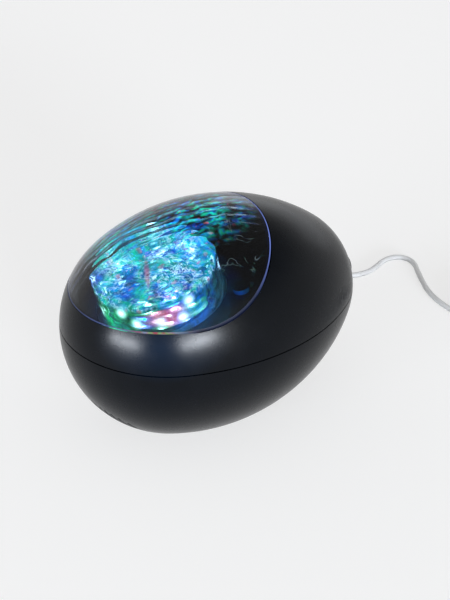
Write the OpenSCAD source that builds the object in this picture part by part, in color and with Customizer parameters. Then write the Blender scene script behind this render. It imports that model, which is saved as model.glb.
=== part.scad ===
// Ocean wave projector: an egg-shaped night light with a lens that turns under a clear dome,
// a loudspeaker, three push buttons and a fixed USB cord.
// Millimetres. Front is -Y, the nose is +Y, up is +Z, and the feet stand on Z = 0.

/* [Body] */
// Radius of the fat front end
fat_r = 54; // [50:0.5:58]
// Radius of the nose at the rear
nose_r = 41; // [36:0.5:46]
// Radius of the long side arc between the two ends
side_r = 105; // [95:1:120]
// Distance between the centres of the two ends
centre_gap = 60; // [54:0.5:66]
// Angle by which the nose is lifted
nose_lift = 4; // [0:0.5:8]
// Height of the egg's middle above the floor
middle_z = 51.2; // [50:0.1:53]
// Wall of both shells
wall = 2.4; // [1.8:0.1:3]
// Thickness of the flat floor
floor_t = 2.4; // [1.8:0.1:3]
// Height of the seam above the egg's middle
seam_rise = 1.4; // [0:0.1:3]
// Open line that shows between the shells
seam_gap = 0.6; // [0.2:0.1:1]
// Height of the lip that locates the upper shell
lip_h = 2; // [1:0.1:3]

/* [Feet] */
// Height of the rubber feet below the flat floor
foot_h = 1.4; // [0.8:0.1:2.5]
// Radius of a rubber foot
foot_r = 4.5; // [3.5:0.1:5]
// Depth of the recess that holds a foot
foot_recess = 1.2; // [0.8:0.1:1.4]
// Half the distance between the front feet
front_foot_x = 18.5; // [17:0.5:19.5]
// Place of the front feet
front_foot_y = -24; // [-28:0.5:-18]
// Half the distance between the rear feet
rear_foot_x = 18; // [16:0.5:19]
// Place of the rear feet
rear_foot_y = 8; // [4:0.5:9]

/* [Dome] */
// Amount by which the round opening's radius is less than the fat end's
rim_in = 3.8; // [3:0.2:8]
// Tilt of the opening to the front
rim_tilt = 26; // [20:1:30]
// Place of the opening's axis at the egg's middle
rim_y = -6.9; // [-10:0.1:-4]
// Gap between dome and upper shell
rim_gap = 0.2; // [0.1:0.05:0.4]
// Thickness of the clear dome
dome_t = 2.2; // [1.6:0.1:3]
// Width of the dome's thicker edge
dome_edge_w = 3; // [2:0.5:4]
// Thickness of the flange under the upper shell
flange_t = 1.5; // [1:0.1:2]
// Reach of the flange under the upper shell
flange_w = 1.8; // [1:0.1:2]
// Thickness of the gasket on the flange
gasket_t = 0.5; // [0.3:0.1:0.8]
// Lower end of the flange, measured along the opening's axis from the egg's middle
flange_low = 24; // [23.5:0.1:25.5]

/* [Light deck] */
// Tilt of the deck and of all that turns under it
deck_tilt = 14; // [10:1:18]
// Place of the lens axis on the deck
deck_y = -27.8; // [-30:0.1:-26]
// Height of the lens axis on the deck, above the egg's middle
deck_rise = 15; // [14:0.1:16]
// Thickness of the deck
deck_t = 2; // [1.5:0.1:2.4]
// Gap between the deck and the shells
deck_gap = 0.5; // [0.3:0.1:1]
// Reach of the deck behind the lens axis
deck_back = 62; // [61:0.5:66]
// Radius of the pillars that carry the chassis
pillar_r = 3.5; // [3:0.1:3.6]
// Height of the caps on the pillars
pillar_cap_h = 2.5; // [1:0.1:4]

/* [Wave lens] */
// Outer radius of the lens drum
drum_r = 31.5; // [30:0.1:32]
// Height of the drum above the deck
drum_rise = 19.5; // [16:0.1:20.5]
// Wall of the drum
drum_wall = 2.2; // [1.6:0.1:2.4]
// Thickness of the rippled top at its thinnest
drum_top_t = 1.6; // [1.2:0.1:2.2]
// Height of the ripples
ripple_h = 1.2; // [0.6:0.1:1.6]
// Number of ripple rings
ripples = 4; // [3:1:6]
// Gap between the drum and the hole in the deck
drum_gap = 0.8; // [0.5:0.1:1.5]

/* [Drive] */
// Tooth module of both gears
gear_module = 1.5; // [1.4:0.05:1.55]
// Teeth on the lens carrier
gear_teeth = 46; // [44:1:46]
// Teeth on the pinion
pinion_teeth = 12; // [11:1:13]
// Play taken off each tooth's thickness
tooth_play = 0.4; // [0.3:0.05:0.5]
// Thickness of the carrier's gear ring
gear_t = 5; // [4:0.2:6]
// Gap between the gear ring and the deck
gear_gap = 0.8; // [0.5:0.1:1.2]
// Gap between the pinion and the chassis plate
pinion_lift = 0.4; // [0.3:0.1:0.8]
// Running clearance of bearings and plungers
running_gap = 0.08; // [0.02:0.01:0.1]
// Radius of the bearing collar
collar_r = 24; // [23.5:0.1:24.2]
// Wall of the bearing collar
collar_wall = 2; // [1.6:0.1:2.4]
// Radius of the motor shaft
shaft_r = 1.5; // [1:0.1:2]
// Radius of the gearbox
gearbox_r = 12; // [10:0.5:12.5]
// Length of the gearbox
gearbox_h = 8; // [6:0.5:9]
// Radius of the motor can
motor_r = 10; // [8:0.5:11]
// Length of the motor can
motor_h = 20; // [16:0.5:22]

/* [Chassis] */
// Thickness of the chassis plate
plate_t = 2.6; // [2:0.1:3]
// Radius of the chassis plate
plate_r = 46; // [45.5:0.1:47]
// Half width of the arm that carries the motor
arm_half_w = 22; // [21:0.5:24]
// Depth of the lamp well below the plate's top
well_depth = 6.2; // [5:0.1:7]
// Thickness of the well's floor
well_floor_t = 4; // [3:0.1:4.5]
// Radius of the legs
leg_r = 4; // [3.5:0.1:4.2]
// Height of the leg ends above the shell's floor
leg_lift = 4.2; // [4:0.1:6]

/* [Lamps and boards] */
// Thickness of every circuit board
board_t = 1.6; // [1:0.1:2]
// Side of a lamp
lamp_w = 5; // [3.5:0.1:5.5]
// Height of a lamp
lamp_h = 1.6; // [1:0.1:2.5]
// Radius of the outer ring of lamps
lamp_ring_r = 14; // [12.5:0.1:15]
// Radius of the ring of red lamps
red_ring_r = 6; // [5.5:0.1:6.5]
// Gap between the light board and the well
board_gap = 0.4; // [0.2:0.1:0.8]
// Width of the main board
main_w = 36; // [34:0.5:38]
// Length of the main board
main_l = 28; // [26:0.5:29]
// Front edge of the main board
main_y = 16; // [15:0.5:17]
// Height of the main board above the floor
main_z = 19; // [18:0.5:22]
// Height of the button board
key_board_h = 13; // [11:0.5:14]
// Width of the button board
key_board_w = 47; // [46:0.5:48]

/* [Loudspeaker] */
// Angle of the loudspeaker's axis below the horizon
sound_drop = 54; // [50:1:56]
// Shift of the loudspeaker up the front
sound_shift = 5; // [4:0.2:5.4]
// Radius of the loudspeaker's flange
sound_r = 17; // [15:0.5:17.5]
// Distance of the flange's seat from the fat end's centre
sound_seat = 42; // [40:0.2:42.5]
// Thickness of the flange
sound_flange_t = 1.2; // [0.8:0.1:2]
// Depth of the basket
basket_h = 8; // [6:0.5:9]
// Radius of the magnet
magnet_r = 9.5; // [8:0.5:11]
// Height of the magnet
magnet_h = 7; // [5:0.5:8]
// Thickness of the cone
cone_t = 0.6; // [0.4:0.1:1]
// Number of grille slots
slots = 15; // [11:2:15]
// Distance between grille slots
slot_pitch = 3; // [2.6:0.1:3.1]
// Width of a grille slot
slot_w = 1.5; // [1:0.1:1.8]
// Radius of the arch along the slots' upper ends
arch_r = 24; // [23:0.5:26]
// Drop of the arch's centre below the loudspeaker's axis
arch_drop = 2; // [2:0.5:8]
// Lower end of the slots, measured down from the axis
slot_low = 7.5; // [6:0.5:8]

/* [Buttons] */
// Radius of a button
button_r = 3.4; // [2.8:0.1:3.6]
// Distance between the buttons
button_pitch = 12; // [11.5:0.1:12.5]
// Height of the buttons above the seam
button_rise = 7.4; // [7:0.1:8.5]
// Height by which a button stands proud
button_proud = 0.8; // [0.4:0.1:1.2]
// Travel of a button
button_travel = 0.8; // [0.4:0.1:0.9]
// Gap around a button
button_gap = 0.3; // [0.2:0.05:0.4]
// Radius of a button's retaining flange
button_flange_r = 4.6; // [4.2:0.1:4.8]
// Radius of the plunger on a button
plunger_r = 1.6; // [1.2:0.1:2]
// Side of a tact switch
switch_w = 6; // [5.5:0.1:7]
// Height of a tact switch
switch_h = 3.6; // [3.2:0.1:4]

/* [Screws] */
// Radius of the case screws
case_screw_r = 1.45; // [1.2:0.05:1.6]
// Radius of the frame screws
frame_screw_r = 1.2; // [1:0.05:1.3]
// Radius of the board, lens and loudspeaker screws
small_screw_r = 0.9; // [0.7:0.05:1]
// Gap between a screw and its hole
screw_gap = 0.1; // [0.05:0.05:0.2]

/* [Cord] */
// Diameter of the cord
cord_d = 3; // [2.6:0.1:3.1]
// Place of the cord's outlet across the body
outlet_x = -10; // [-12:0.5:-6]
// Height of the cord's outlet
outlet_z = 34; // [33:0.5:37]
// Rear end of the strain relief
outlet_y = 80; // [78:0.5:84]
// Radius of the strain relief in the shell
relief_r = 3.3; // [2.8:0.1:3.6]
// Gap between the strain relief and the shell
relief_gap = 0.3; // [0.2:0.05:0.5]
// Radius of the strain relief at its end
relief_tip_r = 2.1; // [1.8:0.1:2.4]
// Radius of the strain relief's inner flange
relief_flange_r = 4.4; // [4:0.1:4.6]
// Loops in the coil
coil_loops = 7; // [5:2:9]
// Distance between neighbouring loops
coil_pitch = 3.6; // [3.6:0.1:4]
// Radius of the coil's middle loop
coil_mid_r = 17.3; // [15:0.1:18]
// Thickness of the cable tie
tie_t = 0.9; // [0.6:0.1:1]
// Width of the cable tie
tie_w = 3; // [2:0.1:4]
// Length of the plug's body
plug_l = 24; // [20:0.5:30]
// Width of the plug's body
plug_w = 15; // [13:0.5:16]
// Height of the plug's body
plug_h = 8; // [7:0.1:9]
// Length of the plug's metal shell
tongue_l = 12; // [11:0.1:14]
// Width of the plug's metal shell
tongue_w = 12; // [11:0.1:12.2]
// Height of the plug's metal shell
tongue_h = 4.5; // [4:0.1:5]

/* [Hidden] */
$fn = 96;
big = 400;

// Colours
black = [0.11, 0.12, 0.135];
deep_black = [0.05, 0.05, 0.06];
clear = [0.82, 0.92, 0.98, 0.35];
lens_blue = [0.45, 0.82, 0.92, 0.55];
grey = [0.45, 0.46, 0.48];
ivory = [0.88, 0.86, 0.8];
steel = [0.7, 0.71, 0.73];
board_green = [0.08, 0.32, 0.2];
cord_white = [0.86, 0.86, 0.87];

// Egg: two end spheres and the side arc, drawn in a little so that it crosses both at a clear angle
side_dip = 0.3;
side_s = ((side_r - fat_r) ^ 2 - (side_r - nose_r) ^ 2 + centre_gap ^ 2) / (2 * centre_gap);
side_q = sqrt((side_r - fat_r) ^ 2 - side_s ^ 2);
egg_l = fat_r + centre_gap * cos(nose_lift) + nose_r;
fat_y = fat_r - egg_l / 2;
fat_z = middle_z - (centre_gap + nose_r - fat_r) / 2 * sin(nose_lift);
nose_y = fat_y + centre_gap * cos(nose_lift);
nose_z = fat_z + centre_gap * sin(nose_lift);
seam_z = middle_z + seam_rise;
floor_z = foot_h + floor_t;
lip_gap = 0.1;

// Dome edge
rim_r = fat_r - rim_in;
dome_r = rim_r - rim_gap;
edge_t = wall + gasket_t + flange_t;

// Heights in the deck's frame, whose zero is the deck's top
deck_z = middle_z + deck_rise;
gear_top = -deck_t - gear_gap;
plate_top = gear_top - gear_t;
plate_low = plate_top - plate_t;
well_z = plate_top - well_depth;
lamp_board_top = well_z + board_t;
collar_proud = 0.2;
collar_top = gear_top + collar_proud;
front_pillar = [37, -16];
rear_pillar = [26, 30];
front_lug_in = 8.5;
front_lug_turn = 54.4;
front_lug = (fat_r - front_lug_in) * [cos(front_lug_turn), -sin(front_lug_turn)];
rear_lug = [34, 56];
lug_r = 4.5;
front_lug_h = 6;
rear_lug_r = 4.2;
rear_lug_h = 40;
window_r = 5;
cap_overhang = 0.5;
lamp_screw_in = 3.6;
arm_end = 4;
wire_hole_r = 1.5;

// Gears
pressure = 20;
gear_r = gear_module * gear_teeth / 2;
pinion_r = gear_module * pinion_teeth / 2;
drive_gap = gear_r + pinion_r;
addendum = 0.73 * gear_module;
dedendum = 1.1 * gear_module;
pinion_t = gear_t - 2 * pinion_lift;
ear_x = 16;
ear_t = 1.6;
ear_half_w = 3.5;

// Wave lens
lens_boss_r = 2.1;
lens_boss_h = 6;
lens_boss_sink = 0.3;
lens_boss_place = drum_r - drum_wall - lens_boss_r + lens_boss_sink;
ripple_steps = 6;
lens_screw_sink = 1.8;

// Screws: head radius, head height and length; screw_end is the room beyond a screw's tip
case_head = [2.8, 2, 11];
frame_head = [2.1, 1.5, 8];
small_head = [1.7, 1.2, 5];
screw_end = 0.2;

// Feet and legs
foot_places = [
    [front_foot_x, front_foot_y], [-front_foot_x, front_foot_y],
    [rear_foot_x, rear_foot_y], [-rear_foot_x, rear_foot_y]
];
leg_z = floor_z + leg_lift;
boss_wall = 1;
case_seat_z = leg_z - 3;

// Main board
post_r = 2.8;
post_edge = 3;
post_places = [
    for (side = [-1, 1], y = [main_y + post_edge, main_y + main_l - post_edge])
        [side * (main_w / 2 - post_edge), y]
];

// Parts on the main board
chip = [8, 8, 1.6];
can_r = 2.2;
can_h = 7;
can_places = [9, 14];
socket = [6, 5, 5];
socket_in = 11;

// Loudspeaker
seat_wall = 1.8;
basket_in = 2.6;
basket_top_r = sound_r - basket_in;
throat_r = 5;
basket_wall = 1.2;
speaker_screw_in = 0.7;
speaker_screw_grip = 3;
fold_w = 2;

// Buttons
button_z = seam_z + button_rise;
key_depth = 15.8;
key_y = nose_y + nose_r - key_depth;
switch_top = key_y + switch_h;
button_flange_t = 1.2;
button_flange_y = switch_top + 2.8;
plunger_depth = 1.6;
switch_bore = plunger_depth + button_travel + 0.2;
key_post_x = 20;
key_post_r = 2.4;

// Cord outlet
relief_depth = 26;
relief_in = nose_y + nose_r - relief_depth;
relief_flange_t = 2;
relief_taper = 12;

// Cord route, from the strain relief to the coil
coil_centre = [18, 180];
cord_clear = 0.1;
coil_lift = tie_t + cord_clear + cord_d / 2;
coil_half = coil_loops * 180;
coil_in_r = coil_mid_r - coil_pitch * coil_loops / 4;
coil_out_r = coil_mid_r + coil_pitch * coil_loops / 4;
coil_start_y = coil_centre[1] - coil_out_r;
coil_lead = 4;
floor_line = cord_d / 2 + cord_clear;
cord_route = [
    [outlet_x, outlet_y, outlet_z],
    [outlet_x, outlet_y + 4, outlet_z],
    [-10.5, 88.5, 33.4],
    [-12.5, 93.5, 30.4],
    [-17, 98.5, 24],
    [-23, 103, 16.5],
    [-30, 107, 9.6],
    [-38, 110.5, 4.4],
    [-46.5, 114, 1.8],
    [-54, 118, floor_line],
    [-59, 124, floor_line],
    [-60, 131, floor_line],
    [-58.5, 138, floor_line],
    [-58.7, 145, floor_line],
    [-61, 151.5, floor_line],
    [-63.6, 157.5, floor_line],
    [-64.8, 163.5, floor_line],
    [-63, 169, floor_line],
    [-58, 172.2, floor_line],
    [-52, 171.8, floor_line],
    [-44, 168.2, floor_line],
    [-34, 163.6, floor_line],
    [-24, 159.6, floor_line],
    [-15, 157.4, floor_line],
    [-6, 156.6, floor_line],
    [3, coil_start_y, coil_lift - 0.5],
    [9, coil_start_y, coil_lift],
    [coil_centre[0] - coil_lead, coil_start_y, coil_lift]
];
route_steps = 2;
cord_sides = 8;
coil_sides = 6;
coil_step = 15;
plug_gap = 0.4;
plug_x = coil_centre[0] + coil_out_r + plug_gap;
plug_edge_r = 2;
grip_cuts = 4;
grip_pitch = 3;
grip_depth = 0.5;

// Point between p1 and p2 on a smooth curve through four points
function blend(p0, p1, p2, p3, t) =
    0.5 * (2 * p1 + (p2 - p0) * t + (2 * p0 - 5 * p1 + 4 * p2 - p3) * t ^ 2
        + (3 * p1 - p0 - 3 * p2 + p3) * t ^ 3);

// Smooth path through all points, with a number of steps between neighbours
function smooth_path(p, steps) = [
    for (i = [0 : len(p) - 2], k = [0 : steps - 1])
        blend(p[max(i - 1, 0)], p[i], p[i + 1], p[min(i + 2, len(p) - 1)], k / steps),
    p[len(p) - 1]
];

function unit(v) = v / norm(v);
function heading(p, i) = unit(p[min(i + 1, len(p) - 1)] - p[max(i - 1, 0)]);
function across(t) = unit(cross(t, [0, 0, 1]));

// Points of a ring around a path point, square to the path
function ring(c, t, r, sides) = [
    for (k = [0 : sides - 1])
        c + r * (cos(360 * k / sides) * across(t) + sin(360 * k / sides) * cross(across(t), t))
];

// Coil: spirals in on the lower layer, climbs in the middle half-turn, spirals out on the upper layer
function ease(u) = u <= 0 ? 0 : u >= 1 ? 1 : u * u * (3 - 2 * u);
function coil_point(t) =
    let (r = coil_in_r + coil_pitch * abs(t - coil_half) / 360)
    [
        coil_centre[0] + r * cos(t - 90),
        coil_centre[1] + r * sin(t - 90),
        coil_lift + coil_pitch * ease((t - coil_half + 90) / 180)
    ];
coil_end_z = plug_h / 2;
coil_path = [
    [coil_centre[0] - coil_lead, coil_start_y, coil_lift],
    for (t = [0 : coil_step : 2 * coil_half]) coil_point(t),
    [coil_centre[0] + 7, coil_start_y, coil_lift + coil_pitch],
    [coil_centre[0] + 14, coil_start_y, coil_end_z + 0.9],
    [coil_centre[0] + 20, coil_start_y, coil_end_z],
    [plug_x, coil_start_y, coil_end_z]
];
cord_path = smooth_path(cord_route, route_steps);

// Least gap of the coil to itself, measured between points half a loop or more apart
half_loop = 180 / coil_step;
coil_gap = min([
    for (i = [0 : len(coil_path) - 1], j = [i + half_loop : 1 : len(coil_path) - 1])
        norm(coil_path[i] - coil_path[j])
]) - cord_d;
echo(coil_gap = coil_gap);

// Gear outline: flanks follow an involute through the listed radii
function involute_angle(base, r) =
    let (a = acos(min(1, base / r))) tan(a) * 180 / PI - a;
function flank_angle(teeth, r) =
    let (pitch = gear_module * teeth / 2, base = pitch * cos(pressure))
    90 / teeth - tooth_play / pitch * 90 / PI
        + involute_angle(base, pitch) - involute_angle(base, max(r, base));
function tooth(teeth, radii, at) = [
    for (r = radii)
        r * [cos(at - flank_angle(teeth, r)), sin(at - flank_angle(teeth, r))],
    for (i = [len(radii) - 1 : -1 : 0])
        radii[i] * [
            cos(at + flank_angle(teeth, radii[i])),
            sin(at + flank_angle(teeth, radii[i]))
        ]
];
function gear_outline(teeth, radii, first) = [
    for (k = [0 : teeth - 1]) each tooth(teeth, radii, first + 360 * k / teeth)
];

// Helpers

module slab(low, high) {
    translate([-big / 2, -big / 2, low])
        cube([big, big, high - low]);
}

// Frame whose Z runs along the egg's own axis, from the fat end's centre to the nose
module along_egg() {
    translate([0, fat_y, fat_z])
        rotate([nose_lift - 90, 0, 0])
            children();
}

// Egg: the two end spheres and the barrel between them, all drawn in by the inset
module egg(inset = 0) {
    low = -(fat_r - inset) * side_s / (side_r - fat_r);
    high = centre_gap + (nose_r - inset) * (centre_gap - side_s) / (side_r - nose_r);
    along_egg()
    union() {
        rotate([90, 0, 0])
            sphere(r = fat_r - inset);
        translate([0, 0, centre_gap])
            rotate([90, 0, 0])
                sphere(r = nose_r - inset);
        rotate(40)
            rotate_extrude()
                intersection() {
                    translate([-side_q, side_s])
                        circle(r = side_r - side_dip - inset);
                    translate([0, low])
                        square([big, high - low]);
                }
    }
}

module in_rim() {
    translate([0, rim_y, middle_z])
        rotate([rim_tilt, 0, 0])
            children();
}

module in_opening() {
    in_rim()
        translate([0, 0, flange_low])
            children();
}

module in_deck() {
    translate([0, deck_y, deck_z])
        rotate([deck_tilt, 0, 0])
            children();
}

module in_speaker() {
    translate([0, fat_y, fat_z])
        rotate([90 + sound_drop, 0, 0])
            children();
}

module to_rear(x, y, z) {
    translate([x, y, z])
        rotate([-90, 0, 0])
            children();
}

module both_sides(place) {
    for (side = [-1, 1])
        translate([side * place[0], place[1], 0])
            children();
}

module at_pillars() {
    both_sides(front_pillar) children();
    both_sides(rear_pillar) children();
}

module at_lens_screws() {
    for (turn = [30, 150, 270])
        rotate(turn)
            translate([lens_boss_place, 0, 0])
                children();
}

// Screw whose head stands on Z = 0 and whose shank points down
module screw(r, head) {
    cylinder(r = head[0], h = head[1]);
    translate([0, 0, -head[2]])
        cylinder(r = r, h = head[2]);
}

module ring_tube(outer, inner, h) {
    difference() {
        cylinder(r = outer, h = h);
        translate([0, 0, -1])
            cylinder(r = inner, h = h + 2);
    }
}

module tube_along(path, r, sides) {
    rings = len(path);
    points = [for (i = [0 : rings - 1]) each ring(path[i], heading(path, i), r, sides)];
    skin = [
        for (i = [0 : rings - 2], k = [0 : sides - 1])
            let (a = i * sides + k, b = i * sides + (k + 1) % sides)
            each [[a, b, b + sides], [a, b + sides, a + sides]]
    ];
    start = [for (k = [sides - 1 : -1 : 0]) k];
    end = [for (k = [0 : sides - 1]) (rings - 1) * sides + k];
    polyhedron(points, concat(skin, [start, end]));
}

// Outer case

module grille_slots() {
    for (i = [-(slots - 1) / 2 : (slots - 1) / 2]) {
        x = i * slot_pitch;
        top = sqrt(arch_r ^ 2 - x ^ 2) - arch_drop;
        translate([x - slot_w / 2, -slot_low, sound_seat + 3])
            cube([slot_w, top + slot_low, fat_r]);
    }
}

module lower_shell() {
    color(black)
    difference() {
        union() {
            difference() {
                intersection() {
                    egg();
                    slab(foot_h, seam_z);
                }
                intersection() {
                    egg(wall);
                    slab(floor_z, seam_z + 1);
                }
                in_speaker() grille_slots();
            }
            difference() {
                intersection() {
                    egg(wall / 2 + lip_gap);
                    slab(seam_z - 1, seam_z + lip_h);
                }
                egg(wall);
            }
            intersection() {
                egg(wall / 2);
                slab(floor_z - floor_t / 2, seam_z);
                union() {
                    for (p = foot_places)
                        translate([p[0], p[1], 0])
                            cylinder(r = case_head[0] + screw_gap + 2 * boss_wall, h = leg_z);
                    for (p = post_places)
                        translate([p[0], p[1], 0])
                            cylinder(r = post_r, h = main_z);
                    in_speaker()
                        translate([0, sound_shift, sound_seat])
                            ring_tube(sound_r + 1, sound_r - seat_wall, fat_r - sound_seat);
                }
            }
        }
        for (p = foot_places)
            translate([p[0], p[1], 0]) {
                cylinder(r = foot_r + screw_gap, h = foot_h + foot_recess);
                cylinder(r = case_head[0] + screw_gap, h = case_seat_z);
                cylinder(r = case_screw_r + 2 * screw_gap, h = leg_z + 1);
            }
        for (p = post_places)
            translate([p[0], p[1], main_z - small_head[2]])
                cylinder(r = small_screw_r + screw_gap, h = small_head[2] + 1);
        in_speaker() at_speaker_screws()
            translate([0, 0, sound_seat - 1])
                cylinder(r = small_screw_r + screw_gap, h = speaker_screw_grip + screw_end + 1);
        to_rear(outlet_x, nose_y, outlet_z)
            cylinder(r = relief_r + relief_gap, h = big / 4);
    }
}

module button_places() {
    for (i = [-1, 0, 1])
        to_rear(i * button_pitch, 0, button_z)
            children();
}

module upper_shell() {
    color(black)
    difference() {
        union() {
            difference() {
                egg();
                egg(wall);
                slab(-big / 4, seam_z + seam_gap);
                intersection() {
                    egg(wall / 2);
                    slab(-big / 4, seam_z + lip_h + lip_gap);
                }
                in_rim() cylinder(r = rim_r, h = big / 2);
            }
            intersection() {
                egg(wall / 2);
                union() {
                    in_deck() both_sides(front_lug)
                        cylinder(r = lug_r, h = front_lug_h);
                    in_deck() both_sides(rear_lug)
                        cylinder(r = rear_lug_r, h = rear_lug_h);
                    for (side = [-1, 1])
                        to_rear(side * key_post_x, key_y, button_z)
                            cylinder(r = key_post_r, h = big / 10);
                }
            }
        }
        in_deck() {
            both_sides(front_lug) lug_pilot(front_lug_h - 1);
            both_sides(rear_lug) lug_pilot(frame_head[2]);
        }
        button_places()
            translate([0, 0, nose_y])
                cylinder(r = button_r + button_gap, h = big / 4);
        for (side = [-1, 1])
            to_rear(side * key_post_x, key_y - 1, button_z)
                cylinder(r = small_screw_r + screw_gap, h = small_head[2]);
    }
}

module lug_pilot(depth) {
    translate([0, 0, -1])
        cylinder(r = frame_screw_r + screw_gap, h = depth + 1);
}

module dome_cover() {
    color(clear)
    union() {
        difference() {
            intersection() {
                egg();
                in_opening() cylinder(r = dome_r, h = big / 2);
            }
            egg(edge_t);
            intersection() {
                egg(dome_t);
                in_opening() cylinder(r = dome_r - dome_edge_w, h = big / 2);
            }
        }
        intersection() {
            difference() {
                egg(wall + gasket_t);
                egg(edge_t);
            }
            in_opening()
                ring_tube(dome_r + flange_w, dome_r - dome_edge_w / 2, big / 2);
        }
    }
}

module dome_gasket() {
    color(deep_black)
    intersection() {
        difference() {
            egg(wall);
            egg(wall + gasket_t);
        }
        in_opening()
            ring_tube(dome_r + flange_w, rim_r, big / 2);
    }
}

module rubber_feet() {
    color(deep_black)
    for (p = foot_places)
        translate([p[0], p[1], 0])
            cylinder(r = foot_r, h = foot_h + foot_recess);
}

// Light engine

module light_deck() {
    color(deep_black)
    difference() {
        union() {
            intersection() {
                egg(wall + deck_gap);
                in_deck()
                    translate([-big / 2, -big / 2, -deck_t])
                        cube([big, big / 2 + deck_back, deck_t]);
            }
            in_deck() at_pillars() {
                translate([0, 0, plate_top])
                    cylinder(r = pillar_r, h = -plate_top - deck_t / 2);
                translate([0, 0, -deck_t / 2])
                    cylinder(r = pillar_r + cap_overhang, h = pillar_cap_h + deck_t / 2);
            }
        }
        in_deck() {
            translate([0, 0, -deck_t - 1])
                cylinder(r = drum_r + drum_gap, h = deck_t + 2);
            at_pillars()
                translate([0, 0, plate_top - 1])
                    cylinder(r = frame_screw_r + screw_gap, h = frame_head[2] - plate_t + screw_end + 1);
            both_sides(front_lug) deck_hole();
            both_sides(rear_lug) deck_hole();
        }
        flange_room();
    }
}

// Room that the dome's flange takes from the deck's edge
module flange_room() {
    intersection() {
        difference() {
            egg(wall);
            egg(edge_t + deck_gap);
        }
        in_opening()
            translate([0, 0, -deck_gap])
                cylinder(r = dome_r + flange_w + deck_gap, h = big / 2);
    }
}

module deck_hole() {
    translate([0, 0, -deck_t - 1])
        cylinder(r = frame_screw_r + 2 * screw_gap, h = deck_t + 2);
}

module chassis() {
    color(grey)
    difference() {
        union() {
            in_deck() {
                translate([0, 0, plate_low]) {
                    cylinder(r = plate_r, h = plate_t);
                    translate([-arm_half_w, 0, 0])
                        cube([2 * arm_half_w, drive_gap + gearbox_r + arm_end, plate_t]);
                }
                translate([0, 0, well_z - well_floor_t])
                    cylinder(r = collar_r, h = collar_top - well_z + well_floor_t);
            }
            intersection() {
                for (p = foot_places)
                    translate([p[0], p[1], leg_z])
                        cylinder(r = leg_r, h = deck_z);
                in_deck() slab(-big / 2, plate_low + plate_t / 2);
            }
        }
        for (p = foot_places)
            translate([p[0], p[1], leg_z - 1])
                cylinder(r = case_screw_r + screw_gap, h = case_head[2]);
        in_deck() {
            translate([0, 0, well_z])
                cylinder(r = collar_r - collar_wall, h = big / 10);
            translate([0, 0, well_z - well_floor_t - 1])
                cylinder(r = window_r, h = well_floor_t + 2);
            lamp_screw_places()
                translate([0, 0, well_z - well_floor_t - 1])
                    cylinder(r = small_screw_r + screw_gap, h = well_floor_t + 2);
            at_pillars() plate_hole(frame_screw_r + 2 * screw_gap);
            translate([0, drive_gap, 0]) {
                plate_hole(shaft_r + 1);
                both_sides([ear_x, 0]) plate_hole(frame_screw_r + 2 * screw_gap);
            }
        }
    }
}

module plate_hole(r) {
    translate([0, 0, plate_low - 1])
        cylinder(r = r, h = plate_t + 2);
}

module lamp_screw_places() {
    both_sides([collar_r - collar_wall - lamp_screw_in, 0]) children();
}

// Rippled lens, a drum open below; its top is a row of rings that rise and fall around a small flat disc
function ripple_at(r) = ripple_h / 2 * (1 + cos(360 * ripples * r / drum_r));
function ripple_profile() =
    let (step = drum_r / (ripples * ripple_steps))
    [
        for (i = [0 : ripples * ripple_steps])
            [i * step, drum_rise - ripple_h + ripple_at(max(i, 1) * step)]
    ];

module wave_lens() {
    inner_top = drum_rise - ripple_h - drum_top_t;
    color(lens_blue)
    in_deck()
    difference() {
        union() {
            rotate_extrude()
                polygon(concat(
                    [[0, inner_top]],
                    ripple_profile(),
                    [
                        [drum_r, gear_top],
                        [drum_r - drum_wall, gear_top],
                        [drum_r - drum_wall, inner_top]
                    ]
                ));
            intersection() {
                at_lens_screws()
                    translate([0, 0, gear_top])
                        cylinder(r = lens_boss_r, h = lens_boss_h);
                cylinder(r = drum_r - drum_wall / 2, h = big, center = true);
            }
        }
        at_lens_screws()
            translate([0, 0, gear_top - 1])
                cylinder(r = small_screw_r + screw_gap, h = lens_boss_h - 1);
    }
}

module lens_carrier() {
    root = gear_r - dedendum;
    tip = gear_r + addendum;
    color(ivory)
    in_deck()
    difference() {
        translate([0, 0, plate_top])
            linear_extrude(gear_t)
                polygon(gear_outline(gear_teeth, [root, tip], 90));
        translate([0, 0, plate_top - 1])
            cylinder(r = collar_r + running_gap, h = gear_t + 2);
        at_lens_screws() {
            translate([0, 0, plate_top - 1])
                cylinder(r = small_screw_r + 2 * screw_gap, h = gear_t + 2);
            translate([0, 0, plate_top - 1])
                cylinder(r = small_head[0] + screw_gap, h = lens_screw_sink + 1);
        }
    }
}

module lens_screws() {
    color(steel)
    in_deck() at_lens_screws()
        translate([0, 0, plate_top + lens_screw_sink])
            rotate([180, 0, 0])
                screw(small_screw_r, small_head);
}

module drive_pinion() {
    color(ivory)
    in_deck()
        translate([0, drive_gap, plate_top + pinion_lift])
            difference() {
                linear_extrude(pinion_t)
                    polygon(gear_outline(
                        pinion_teeth,
                        [pinion_r - dedendum, pinion_r, pinion_r + addendum],
                        180 / pinion_teeth - 90
                    ));
                translate([0, 0, -1])
                    cylinder(r = shaft_r, h = pinion_t + 2);
            }
}

module motor_shaft() {
    color(steel)
    in_deck()
        translate([0, drive_gap, plate_low - gearbox_h / 2])
            cylinder(r = shaft_r, h = gearbox_h / 2 + plate_t + pinion_lift + pinion_t);
}

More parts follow.
